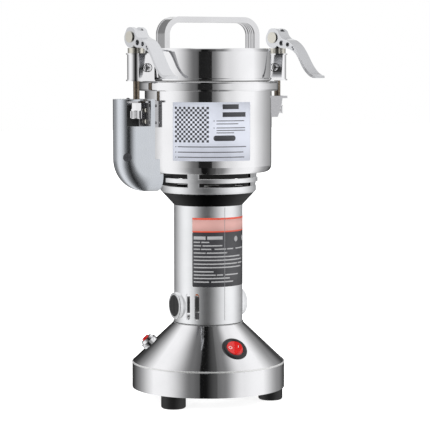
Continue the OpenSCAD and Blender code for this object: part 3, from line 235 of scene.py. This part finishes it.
DRESS = {
    polished: "base_shell bowl lid_shell collar_ring lid_saddles lid_ears ear_plates",
    satin_steel: "left_fork right_fork shaft_bearings motor_shaft brush_springs",
    zinc_steel: "foot_screws handle_screws washers_left washers_right "
    "cam_pin_left cam_pin_right lower_cutter upper_cutter "
    "cutter_spacer cutter_nut",
    dull_steel: "clamp_rod_left clamp_rod_right",
    cast_metal: "cam_lever_left cam_lever_right",
    chrome: "reset_nut barrel_nut_left barrel_nut_right ear_screws",
    black_steel: "bowl_screws bearing_bracket",
    matt_black: "heat_spacer",
    grey_plastic: "cover_screws",
    aluminium: "motor_tube",
    aluminium_painted_gap_shade: "neck_housing vent_neck",
    cover_metal: "interlock_cover",
    handle_metal: "lid_handle",
    copper: "field_coils rotor_windings commutator",
    core_iron: "stator_core rotor_core",
    black_plastic: "rocker_bezel reset_breaker brush_housings brush_caps microswitch "
    "cooling_fan",
    carbon: "carbon_brushes",
    rubber: "rubber_feet cord_gland shaft_seal",
    dark_paint: "base_plate",
    red_gloss: "rocker reset_button switch_plunger",
    seal_painted_shade: "lid_seal",
}
for finish, names in DRESS.items():
    for name in names.split():
        slots = nodes[name].data.materials
        slots.clear()
        slots.append(finish)

# Large parts don't show in each other's polish, as in a studio with tents round them; small clamp parts do
CLAMPS = "cam_lever washers clamp_rod barrel_nut cam_pin lid_ears ear_plates ear_screws left_fork right_fork"
for name, node in nodes.items():
    node.visible_glossy = name.startswith(tuple(CLAMPS.split()))


# Labels: panels wrapped round the motor axis, with sizes in millimetres and turns in degrees

# Length of a panel's facets and their number round a corner
PANEL_STEP, CORNER_STEPS = 2.0, 6
# Thickness of a film and of the ink on it, and the gap under a film, so that no two surfaces share a place
FILM, INK, GAP = 0.12, 0.03, 0.01


def wrapped(mesh, radius, left, right, low, high, thick, corner):
    """Adds a closed panel between two angles and two heights."""
    width = math.radians(right - left) * radius
    count = round(width / PANEL_STEP)
    places = {0.0, width}
    places.update(width * i / max(1, count) for i in range(count + 1))
    for i in range(CORNER_STEPS + 1):
        inset = corner * (1 - math.cos(math.pi / 2 * i / CORNER_STEPS))
        places.update((inset, width - inset))
    rows = []
    for place in sorted(places):
        near = min(place, width - place)
        cut = corner - math.sqrt(max(0, corner**2 - (corner - near) ** 2)) if near < corner else 0
        angle = math.radians(left) + place / radius
        row = []
        for r in (radius, radius + thick):
            for z in (low + cut, high - cut):
                point = Vector((r * math.cos(angle), r * math.sin(angle), z)) * MM
                row.append(mesh.verts.new(point))
        rows.append(row)
    for a, b in zip(rows, rows[1:]):
        for i, j in ((0, 1), (1, 3), (3, 2), (2, 0)):
            mesh.faces.new((a[i], b[i], b[j], a[j]))
    for row in (rows[0], rows[-1]):
        mesh.faces.new((row[0], row[1], row[3], row[2]))


def panel(name, finish, radius, boxes, thick, corner=0.0):
    """One piece on the stand, of one or more wrapped boxes (left, right, low, high)."""
    mesh = bmesh.new()
    for box in boxes:
        wrapped(mesh, radius, *box, thick, corner)
    bmesh.ops.recalc_face_normals(mesh, faces=mesh.faces)
    data = bpy.data.meshes.new(name)
    mesh.to_mesh(data)
    mesh.free()
    for face in data.polygons:
        face.use_smooth = True
    data.materials.append(finish)
    piece = new_object(name, data)
    piece.visible_glossy = False
    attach(piece, "stand")


def bars(left, low_high, widths, radius):
    """Boxes of given widths from the left edge on, one row each. A negative width is a gap."""
    made = []
    for (low, high), row in zip(low_high, widths):
        at = left
        for width in row:
            if width > 0:
                made.append((at, at + math.degrees(width / radius), low, high))
            at += math.degrees(abs(width) / radius)
    return made


def printed(name, colour):
    """Printed film with a slight unevenness of its ink, also used for the painted shade of the tube's seam.
    """
    return plastic(name, colour, 0.35, grain=0.385, bump=0.03, coat=0.15)


# The label's ground: dull and dark, so that the pale rows stand out
charcoal = printed("printed charcoal film", "3C3C40")
# A faded warm band across the top, the only colour on the tube
salmon = printed("printed salmon film", "D7A59E")
# Stronger than the band, so that it looks framed
orange = printed("printed orange film", "E4553A")
# Pale and dull, dimmer than the metal beside the label
pale_ink = printed("pale grey ink", "B2B2B4")
# Painted shade of the tube's seam: a thin line of shade on bright metal, drawn as a film
seam_shade = printed("grey seam shade", "8F9093")
# A little cooler than the steel of the bowl
ice = printed("pale blue film", "DADEEA")
# Nearly black, so that the check and the headings are the darkest marks on the bowl
dark_ink = printed("dark grey ink", "3C3D42")
# Lighter, which keeps the small lines from weighing as much as the headings
line_ink = printed("grey ink", "6A6B72")
# Off white, clear on the red rocker
white_ink = printed("white ink", "E8E8E8")

TUBE_R = 31.0
LABEL_R = TUBE_R + GAP
LABEL_INK_R = LABEL_R + FILM
LABEL_TURNS = (-144.0, 18.0)
LABEL_LOW, LABEL_SPLIT, LABEL_HIGH = 105.5, 154.3, 167.2
LOWER_EDGE, UPPER_EDGE = 1.2, 1.6
LABEL_BOX = (*LABEL_TURNS, LABEL_LOW, LABEL_SPLIT)
BAND_BOX = (*LABEL_TURNS, LABEL_SPLIT, LABEL_HIGH)
EDGE_BOXES = [
    (*LABEL_TURNS, LABEL_SPLIT, LABEL_SPLIT + LOWER_EDGE),
    (*LABEL_TURNS, LABEL_HIGH - UPPER_EDGE, LABEL_HIGH),
]
LABEL_CORNER, BAND_CORNER = 1.2, 0.4
panel("motor_label", charcoal, LABEL_R, [LABEL_BOX], FILM, LABEL_CORNER)
panel("motor_label_band", salmon, LABEL_R, [BAND_BOX], FILM, BAND_CORNER)
panel("motor_label_edges", orange, LABEL_INK_R, EDGE_BOXES, INK)
ROW, HEAD_ROW = 1.15, (147.8, 150.8)
ROW_MIDDLES = (145.5, 142.4, 139.3, 135.9, 132.5, 129.4, 126.0, 122.9, 119.2, 116.2, 113.2, 110.0)
ROWS = [HEAD_ROW] + [(z - ROW / 2, z + ROW / 2) for z in ROW_MIDDLES]
ROWS_LEFT = LABEL_TURNS[0] + 2.4
WIDTHS = [
    (11, -1.5, 14),
    (6, -1.2, 7),
    (7, -1.2, 18),
    (6, -1, 9, -3, 11, -1, 7, -3, 14),
    (11, -1, 19),
    (48,),
    (52,),
    (44, -1, 8),
    (50,),
    (18,),
    (20, -1, 6, -2, 16),
    (34,),
    (14, -2, 22),
]
panel("motor_label_rows", pale_ink, LABEL_INK_R, bars(ROWS_LEFT, ROWS, WIDTHS, TUBE_R), INK)
DISC_R, DISC_Z, DISC_TURNS = 2.5, 147.8, (-64.5, -40.0)
DISC_HALF = math.degrees(DISC_R / TUBE_R)
discs = [(a - DISC_HALF, a + DISC_HALF, DISC_Z - DISC_R, DISC_Z + DISC_R) for a in DISC_TURNS]
panel("motor_label_discs", pale_ink, LABEL_INK_R, discs, INK, DISC_R)

# The tube's seam runs down its whole height, across the label, as a line of painted shade
SEAM = (-89.2, -88.4, 75.5, 176.5)
panel("tube_seam", seam_shade, LABEL_INK_R, [SEAM], INK)

BOWL_R = 57.0
STICKER_R = BOWL_R + GAP
STICKER_INK_R = STICKER_R + FILM
STICKER = (-149.8, -76.9, 219.0, 270.3)
STICKER_CORNER = 0.8
panel("bowl_sticker", ice, STICKER_R, [STICKER], FILM, STICKER_CORNER)
CELL, CELLS = 2.07, 15
CHECK_LEFT, CHECK_LOW = STICKER[0] + 2.2, 235.3
cells = []
for i in range(CELLS):
    for j in range(CELLS):
        if (i + j) % 2 == 0:
            a = CHECK_LEFT + math.degrees(i * CELL / BOWL_R)
            z = CHECK_LOW + j * CELL
            cells.append((a, a + math.degrees(CELL / BOWL_R), z, z + CELL))
panel("sticker_check", dark_ink, STICKER_INK_R, cells, INK)
TEXT_GAP = 4
TEXT_LEFT = CHECK_LEFT + math.degrees((CELLS * CELL + TEXT_GAP) / BOWL_R)
HEADINGS, HEADING_WIDTHS = [(264.3, 268.5), (257.5, 261.6)], [(-8, 15), (-8, 22)]
headings = bars(TEXT_LEFT, HEADINGS, HEADING_WIDTHS, BOWL_R)
panel("sticker_heads", dark_ink, STICKER_INK_R, headings, INK)
POINT, LINE = 0.8, 0.9
POINTS = [(z, z + POINT) for z in (253.7, 251.1, 247.6, 245.4, 243.3)]
POINT_WIDTHS = [(1, -1.6, 26), (-2.6, 20), (1, -1.6, 27), (-2.6, 27), (-2.6, 16)]
LINES = [(z, z + LINE) for z in (231.0, 226.3, 221.9)]
LINE_WIDTHS = [(1, -1.4, 63), (1, -1.4, 60), (1, -1.4, 61)]
LINES_LEFT = CHECK_LEFT + 0.4
small = bars(TEXT_LEFT, POINTS, POINT_WIDTHS, BOWL_R) + bars(LINES_LEFT, LINES, LINE_WIDTHS, BOWL_R)
panel("sticker_lines", line_ink, STICKER_INK_R, small, INK)
PILL, PILL_WIDTH, PILL_CORNER = (236.6, 241.4), 20, 2.2
pill = bars(TEXT_LEFT, [PILL], [(PILL_WIDTH,)], BOWL_R)
panel("sticker_pill", dark_ink, STICKER_INK_R, pill, INK, PILL_CORNER)


# Pieces grown by trees of geometry nodes: threads, knurls, the painted shade of crossed recesses, heads and
# marks

ORIGIN = (0.0, 0.0, 0.0)
LENGTH, TURN = ("Float", MM), ("Vector", ORIGIN)
THREAD_STEPS, THREAD_SIDES = 24, 4
RING_STEPS, BEAD_STEPS = 240, 12
DOME_STEPS, DOME_ROWS = 24, 12


def in_metres(**sizes):
    """Sizes that are given in millimetres."""
    return {name: size * MM for name, size in sizes.items()}


def growing(name, **sockets):
    """A tree with named inputs, each given as its socket type and default, and its input sockets."""
    tree = bpy.data.node_groups.new(name, "GeometryNodeTree")
    face = tree.interface
    face.new_socket("points", in_out="INPUT", socket_type="NodeSocketGeometry")
    for label, (kind, value) in sockets.items():
        made = face.new_socket(label, in_out="INPUT", socket_type="NodeSocket" + kind)
        made.default_value = value
    face.new_socket("finish", in_out="INPUT", socket_type="NodeSocketMaterial")
    face.new_socket("Geometry", in_out="OUTPUT", socket_type="NodeSocketGeometry")
    return tree, add(tree, "NodeGroupInput").outputs


def ending(tree, shape, given, place):
    """Ends a tree: the shape is moved to its place, made real and given its finish."""
    moved = add(tree, "Transform", {"Geometry": shape, "Translation": place})
    real = add(tree, "RealizeInstances", (moved,))
    done = add(tree, "SetMaterial", {"Geometry": real, "Material": given["finish"]})
    add(tree, "NodeGroupOutput", (done,))
    return tree


def on_each_point(tree, shape, given):
    """Ends a tree with its shape on each of the given points, turned as given."""
    spots = {"Points": given["points"], "Instance": shape, "Rotation": given["turn"]}
    return ending(tree, add(tree, "InstanceOnPoints", spots), given, ORIGIN)


def grown(name, tree, body, points=(), smooth=True, **sizes):
    """Runs a tree, keeps its result as a plain mesh and lets it ride on a body."""
    seed = bpy.data.meshes.new(name)
    seed.from_pydata([tuple(point) for point in points], [], [])
    piece = new_object(name, seed)
    modifier = piece.modifiers.new("grow", "NODES")
    modifier.node_group = tree
    for item in tree.interface.items_tree:
        if item.in_out == "INPUT" and item.name in sizes:
            modifier[item.identifier] = sizes[item.name]
    bpy.context.view_layer.update()
    ready = piece.evaluated_get(bpy.context.evaluated_depsgraph_get())
    plain = bpy.data.meshes.new_from_object(ready)
    piece.modifiers.remove(modifier)
    piece.data = plain
    for face in plain.polygons:
        face.use_smooth = smooth
    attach(piece, body)


def thread_tree():
    """A helical ridge: a spiral curve swept with a small four-sided profile."""
    sizes = dict(radius=LENGTH, pitch=LENGTH, height=LENGTH, ridge=LENGTH)
    tree, given = growing("thread", **sizes, place=("Vector", ORIGIN))
    turns = add(tree, "ShaderNodeMath", (given["height"], given["pitch"]), operation="DIVIDE")
    sizes = {"Resolution": THREAD_STEPS, "Rotations": turns, "Height": given["height"]}
    sizes.update({"Start Radius": given["radius"], "End Radius": given["radius"]})
    path = add(tree, "CurveSpiral", sizes)
    profile = add(tree, "CurvePrimitiveCircle", {"Resolution": THREAD_SIDES, "Radius": given["ridge"]})
    swept = add(tree, "CurveToMesh", {"Curve": path, "Profile Curve": profile})
    return ending(tree, swept, given, given["place"])


def ribs_tree():
    """Upright ribs round a circle, each turned to face outwards."""
    sizes = dict(radius=LENGTH, height=LENGTH, rib=LENGTH, count=("Int", 24))
    tree, given = growing("ribs", **sizes, place=("Vector", ORIGIN))
    circle = add(tree, "MeshCircle", {"Vertices": given["count"], "Radius": given["radius"]})
    size = add(tree, "ShaderNodeCombineXYZ", (given["rib"], given["rib"], given["height"]))
    rib = add(tree, "MeshCube", {"Size": size})
    step = add(tree, "ShaderNodeMath", (2 * math.pi, given["count"]), operation="DIVIDE")
    turn = add(tree, "ShaderNodeMath", (add(tree, "InputIndex"), step), operation="MULTIPLY")
    turn = add(tree, "ShaderNodeMath", (turn, math.pi / 4), operation="ADD")
    spin = add(tree, "ShaderNodeCombineXYZ", (0.0, 0.0, turn))
    spots = add(tree, "InstanceOnPoints", {"Points": circle, "Instance": rib, "Rotation": spin})
    return ending(tree, spots, given, given["place"])


def cross_tree():
    """The painted shade of a crossed recess on each point, drawn as two thin dark bars a hair above the
    head.
    """
    tree, given = growing("cross", length=LENGTH, width=LENGTH, lift=LENGTH, turn=TURN)
    joined = add(tree, "JoinGeometry")
    for one, two in (("length", "width"), ("width", "length")):
        size = add(tree, "ShaderNodeCombineXYZ", (given[one], given[two], given["lift"]))
        tree.links.new(add(tree, "MeshCube", {"Size": size}).outputs["Mesh"], joined.inputs[0])
    return on_each_point(tree, joined, given)


def line_tree():
    """A thin printed bar on each point."""
    tree, given = growing("line", length=LENGTH, width=LENGTH, lift=LENGTH, turn=TURN)
    size = add(tree, "ShaderNodeCombineXYZ", (given["length"], given["width"], given["lift"]))
    return on_each_point(tree, add(tree, "MeshCube", {"Size": size}), given)


def dome_tree():
    """A low domed head on each point."""
    tree, given = growing("dome", radius=LENGTH, height=LENGTH, turn=TURN)
    ball = add(tree, "MeshUVSphere", {"Segments": DOME_STEPS, "Rings": DOME_ROWS, "Radius": 1.0})
    size = add(tree, "ShaderNodeCombineXYZ", (given["radius"], given["radius"], given["height"]))
    flat = add(tree, "Transform", {"Geometry": ball, "Scale": size})
    return on_each_point(tree, flat, given)


def ring_tree():
    """A ring on each point, such as a printed circle, the bead of a pressed edge, or a ring of painted shade
    round a screw head or at a joint.
    """
    tree, given = growing("ring", radius=LENGTH, bead=LENGTH, flat=("Float", 1.0), turn=TURN)
    path = add(tree, "CurvePrimitiveCircle", {"Resolution": RING_STEPS, "Radius": given["radius"]})
    profile = add(tree, "CurvePrimitiveCircle", {"Resolution": BEAD_STEPS, "Radius": given["bead"]})
    swept = add(tree, "CurveToMesh", {"Curve": path, "Profile Curve": profile})
    size = add(tree, "ShaderNodeCombineXYZ", (1.0, 1.0, given["flat"]))
    flat = add(tree, "Transform", {"Geometry": swept, "Scale": size})
    return on_each_point(tree, flat, given)


thread, ribs, cross, line = thread_tree(), ribs_tree(), cross_tree(), line_tree()
dome, ring = dome_tree(), ring_tree()

# The rods' threads from a little above their nuts to a little below the ears, and the nuts' knurls between
# their two smooth collars, all in millimetres
ROD_R, PITCH, RIDGE = 2.75, 1.0, 0.26
THREAD_GAP = 0.4
KNURLS, KNURL_R, KNURL_SUNK, RIB = 26, 5.0, 0.1, 0.62
COLLAR, COLLARS = 0.5, 7.6
ear_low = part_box("lid_ears")[0].z
for side in ("left", "right"):
    nut_low, nut_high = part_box("barrel_nut_" + side)
    middle = (nut_low + nut_high) / 2
    grown(
        "rod_thread_" + side,
        thread,
        "rod_" + side,
        **in_metres(radius=ROD_R, pitch=PITCH, ridge=RIDGE),
        height=ear_low - nut_high.z - 2 * THREAD_GAP * MM,
        place=(middle.x, middle.y, nut_high.z + THREAD_GAP * MM),
        finish=dull_steel,
    )
    knurled = nut_high.z - nut_low.z - COLLARS * MM
    grown(
        "nut_knurl_" + side,
        ribs,
        "rod_" + side,
        smooth=False,
        **in_metres(radius=KNURL_R - KNURL_SUNK, rib=RIB),
        height=knurled,
        count=KNURLS,
        place=(middle.x, middle.y, nut_low.z + knurled / 2 + COLLAR * MM),
        finish=chrome,
    )

# The crossed screws of the lid's ears, with their recesses and the rings round their heads drawn as painted
# shade
FRONTWARD = (math.pi / 2, 0.0, 0.0)
EAR_SCREW_X = 64.0
CROSS = in_metres(length=3.6, width=0.8, lift=0.1)
RIM = in_metres(radius=3.55, bead=0.3)
screw_low, screw_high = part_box("ear_screws")
screw_z = (screw_low.z + screw_high.z) / 2
heads = [(s * EAR_SCREW_X * MM, screw_low.y, screw_z) for s in (-1, 1)]
grown("ear_screw_recess", cross, "lid", heads, False, **CROSS, turn=FRONTWARD, finish=recess)
grown("ear_screw_rims", ring, "lid", heads, **RIM, flat=1.0, turn=FRONTWARD, finish=recess)

# Two domed heads that hold the interlock's leaf to the bowl
LEAF_TURN, LEAF_R, LEAF_HEIGHTS = math.radians(171.8), 59.0, (262.5, 252.5)
SIDEWAYS = (0.0, -math.pi / 2, 0.0)
DOME = in_metres(radius=2.2, height=1.0)
leaf_x, leaf_y = LEAF_R * MM * math.cos(LEAF_TURN), LEAF_R * MM * math.sin(LEAF_TURN)
leaf_heads = [(leaf_x, leaf_y, z * MM) for z in LEAF_HEIGHTS]
grown("leaf_screw_heads", dome, "stand", leaf_heads, **DOME, turn=SIDEWAYS, finish=zinc_steel)

# The rounded crease of the base, brightened as painted highlight, and the painted shade of the joint where
# the tube stands in the cone
CREASE_Z, JOINT_Z = 34.8, 71.3
CREASE = in_metres(radius=68.55, bead=0.82)
JOINT = in_metres(radius=31.45, bead=0.3)
grown("base_crease_bead", ring, "stand", [(0, 0, CREASE_Z * MM)], **CREASE, flat=1.0, finish=crease_painted_highlight)
# The joint's ring is painted shade, in the black recess finish
grown("tube_joint", ring, "stand", [(0, 0, JOINT_Z * MM)], **JOINT, flat=1.0, finish=recess)

# The rocker's line and ring, on the two slopes of its rest place. Its centre, the axis of its tilt and the
# normal of the cone under it are those of the part's source
ROCKER = Vector((0, -49.966, 51.026))
ALONG = Vector((-0.34202, -0.68103, -0.64747))
NORMAL = Vector((0, -0.68903, 0.72473))
REST_TILT, MARK_OUT, MARK_DOWN, PROUD = math.radians(12), 3.5, 0.9, 0.03
# Marks are dropped on the rocker from this far above it
DROP = 20
RING_MARK = dict(**in_metres(radius=1.4, bead=0.22), flat=0.4)
LINE_MARK = in_metres(length=2.4, width=0.45, lift=0.12)
rest = Matrix.Rotation(REST_TILT, 3, ALONG)
above = rest @ NORMAL
sideways = rest @ NORMAL.cross(ALONG)
for name, half, tree, sizes in (("rocker_ring", -1, ring, RING_MARK), ("rocker_line", 1, line, LINE_MARK)):
    start = (ROCKER + sideways * half * MARK_OUT - ALONG * half * MARK_DOWN + above * DROP) * MM
    _, spot, face, _ = nodes["rocker"].ray_cast(start, -above)
    turned = Matrix((ALONG, face.cross(ALONG).normalized(), face)).transposed().to_euler()
    grown(name, tree, "rocker", [spot + face * PROUD * MM], **sizes, turn=tuple(turned), finish=white_ink)


# Camera, placed in metres and aimed by where the mill stands in the photograph

AXIS_DISTANCE = 1.7
CAMERA_HEIGHT = 0.3075
CAMERA_TURN = math.radians(-27)
SENSOR, FAR_CLIP = 36, 50
# Pixels of the photograph, and what one of them spans at the motor axis
PICTURE, FRAME_SCALE = 430, 0.9 * MM
AXIS_PIXEL, CENTRE_PIXEL, GROUND_PIXEL = 208.2, 215.0, 401.0

out = Vector((math.sin(CAMERA_TURN), -math.cos(CAMERA_TURN), 0))
right = Vector((math.cos(CAMERA_TURN), math.sin(CAMERA_TURN), 0))
camera_data = bpy.data.cameras.new("camera")
camera = new_object("camera", camera_data)
bpy.context.scene.camera = camera
camera_data.sensor_width = SENSOR
camera_data.lens = SENSOR * AXIS_DISTANCE / (PICTURE * FRAME_SCALE)
camera_data.clip_end = FAR_CLIP
camera.location = out * AXIS_DISTANCE + Vector((0, 0, CAMERA_HEIGHT))
aim = right * (CENTRE_PIXEL - AXIS_PIXEL) * FRAME_SCALE
aim.z = (GROUND_PIXEL - CENTRE_PIXEL) * FRAME_SCALE
camera.rotation_euler = (aim - camera.location).to_track_quat("-Z", "Y").to_euler()


# Studio: what bright metal shows, as (place, brightness)

# From left to right: a pale wall that falls off, its sharp edge, the dark gap, and the other wall
WALLS = (
    (0.0, 0.97),
    (0.28, 0.16),
    (0.388, 0.1),
    (0.396, 0.006),
    (0.465, 0.007),
    (0.61, 0.08),
    (0.625, 0.15),
    (0.7, 0.2),
    (0.9, 0.85),
    (1.0, 0.97),
)
# From behind the camera, where the room is dim, to behind the mill, where the background is white
DEPTH = ((0.0, 0.25), (0.11, 0.28), (0.21, 0.33), (0.3, 0.48), (0.5, 1.0))
# The same two at the lens's height, where the walls are brighter and the gap has sharp edges
LEVEL_WALLS = (
    (0.0, 0.97),
    (0.3, 0.14),
    (0.35, 0.1),
    (0.358, 0.013),
    (0.555, 0.018),
    (0.565, 0.17),
    (0.8, 0.77),
    (1.0, 1.0),
)
LEVEL_DEPTH = ((0.0, 0.4), (0.09, 0.45), (0.24, 0.57), (0.36, 0.75), (0.5, 1.0))
# Share of that second pair, by half the height of a ray plus a half
LEVEL = ((0.44, 0.0), (0.455, 1.0), (0.52, 1.0), (0.55, 0.0))
# Brightness of the plain pale wall that flat tops show, and its share: by half a ray's way forwards plus a
# half, by its height in the same way, and by the square of its way sideways
SKY = 0.85
SKY_AWAY = ((0.42, 1.0), (0.48, 0.0))
SKY_UP = ((0.525, 0.0), (0.6, 1.0))
SKY_MIDDLE = ((0.02, 1.0), (0.05, 0.0))
GLOSS_LIGHT, SOFT_LIGHT, BACKGROUND = 1.15, 0.84, 1.0


def studio_world():
    """White for the camera; for reflections pale sides with a dark strip towards the camera's side."""
    world = bpy.data.worlds.new("studio")
    bpy.context.scene.world = world
    world.use_nodes = True
    tree = world.node_tree
    tree.nodes.clear()
    way = add(tree, "TexCoord").outputs["Generated"]
    side = add(tree, "VectorMath", (way, right), operation="DOT_PRODUCT").outputs["Value"]
    front = add(tree, "VectorMath", (way, out), operation="DOT_PRODUCT").outputs["Value"]
    up = add(tree, "SeparateXYZ", (way,)).outputs["Z"]
    # The surface's own turn about the upright axis, the same for a straight wall and for the cone
    ahead = add(tree, "Math", (front, 1.0), operation="ADD")
    near = add(tree, "Math", (ahead, ahead), operation="MULTIPLY")
    aside = add(tree, "Math", (side, side), operation="MULTIPLY")
    whole = add(tree, "Math", (near, aside), operation="ADD")
    across = add(tree, "Math", (side, ahead), operation="MULTIPLY")
    across = add(tree, "Math", (across, whole), operation="DIVIDE")
    across = add(tree, "Math", (across, 0.5), operation="ADD")
    turned = add(tree, "Math", (near, whole), operation="DIVIDE")
    height = add(tree, "Math", (up, 0.5, 0.5), operation="MULTIPLY_ADD")
    level = add(tree, "ValToRGB", (height,), LEVEL)
    pair = []
    for value, usual, lens_high in ((across, WALLS, LEVEL_WALLS), (turned, DEPTH, LEVEL_DEPTH)):
        eased = usual is WALLS
        shades = {"Factor": level, 6: add(tree, "ValToRGB", (value,), usual, eased)}
        shades[7] = add(tree, "ValToRGB", (value,), lens_high, eased)
        pair.append(add(tree, "Mix", shades, data_type="RGBA").outputs[2])
    room = {"Factor": 1.0, 6: pair[0], 7: pair[1]}
    room = add(tree, "Mix", room, data_type="RGBA", blend_type="MULTIPLY").outputs[2]
    # Flat tops show the pale wall behind the mill, not the gap
    away = add(tree, "Math", (front, 0.5, 0.5), operation="MULTIPLY_ADD")
    skyward = add(tree, "ValToRGB", (away,), SKY_AWAY)
    for value, stops in ((height, SKY_UP), (aside, SKY_MIDDLE)):
        share = add(tree, "ValToRGB", (value,), stops)
        skyward = add(tree, "Math", (skyward, share), operation="MULTIPLY")
    seen = add(tree, "Mix", {"Factor": skyward, 6: room, 7: grey(SKY)}, data_type="RGBA").outputs[2]
    gloss = add(tree, "Background", {"Color": seen, "Strength": GLOSS_LIGHT})
    soft = add(tree, "Background", {"Color": grey(1.0), "Strength": SOFT_LIGHT})
    white = add(tree, "Background", {"Color": grey(1.0), "Strength": BACKGROUND})
    rays = add(tree, "LightPath").outputs
    lit = add(tree, "MixShader", (rays["Is Glossy Ray"], soft, gloss))
    shown = add(tree, "MixShader", (rays["Is Camera Ray"], lit, white))
    add(tree, "OutputWorld", {"Surface": shown})


studio_world()

# Lamps, placed in metres from the mill as the camera sees it and aimed at the middle of the mill

LAMP_AIM = Vector((0, 0, 0.18))


def area_light(name, ahead, aside, up, size, power):
    """A lamp with a soft shadow that doesn't show in the metal."""
    data = bpy.data.lights.new(name, "AREA")
    data.shape = "RECTANGLE"
    data.size, data.size_y = size
    data.energy = power
    light = new_object(name, data)
    light.location = out * ahead + right * aside + Vector((0, 0, up))
    light.visible_glossy = False
    light.rotation_euler = (LAMP_AIM - light.location).to_track_quat("-Z", "Y").to_euler()


area_light("left_softbox", ahead=0.9, aside=-1.5, up=0.9, size=(0.7, 1.3), power=10)
area_light("right_softbox", ahead=0.5, aside=1.6, up=0.7, size=(0.7, 1.3), power=7)
area_light("top_softbox", ahead=0.0, aside=0.0, up=1.7, size=(1.0, 1.0), power=7)

# The floor glows just enough to merge with the white background, and keeps the mill's shadow
FLOOR_HALF = 6.0
floor_paint, _, floor_shader = material("matt white paint")
floor_shader.inputs["Base Color"].default_value = srgb("F4F4F4")
floor_shader.inputs["Roughness"].default_value = 0.9
floor_shader.inputs["Specular IOR Level"].default_value = 0.1
floor_shader.inputs["Emission Color"].default_value = grey(1.0)
floor_shader.inputs["Emission Strength"].default_value = SOFT_LIGHT
floor_mesh = bpy.data.meshes.new("floor")
corners = [(x * FLOOR_HALF, y * FLOOR_HALF, 0) for x, y in ((-1, -1), (1, -1), (1, 1), (-1, 1))]
floor_mesh.from_pydata(corners, [], [(0, 1, 2, 3)])
floor_mesh.materials.append(floor_paint)
floor = new_object("floor", floor_mesh)
floor.visible_glossy = False
floor.visible_diffuse = False

bpy.context.scene.view_settings.view_transform = "Standard"
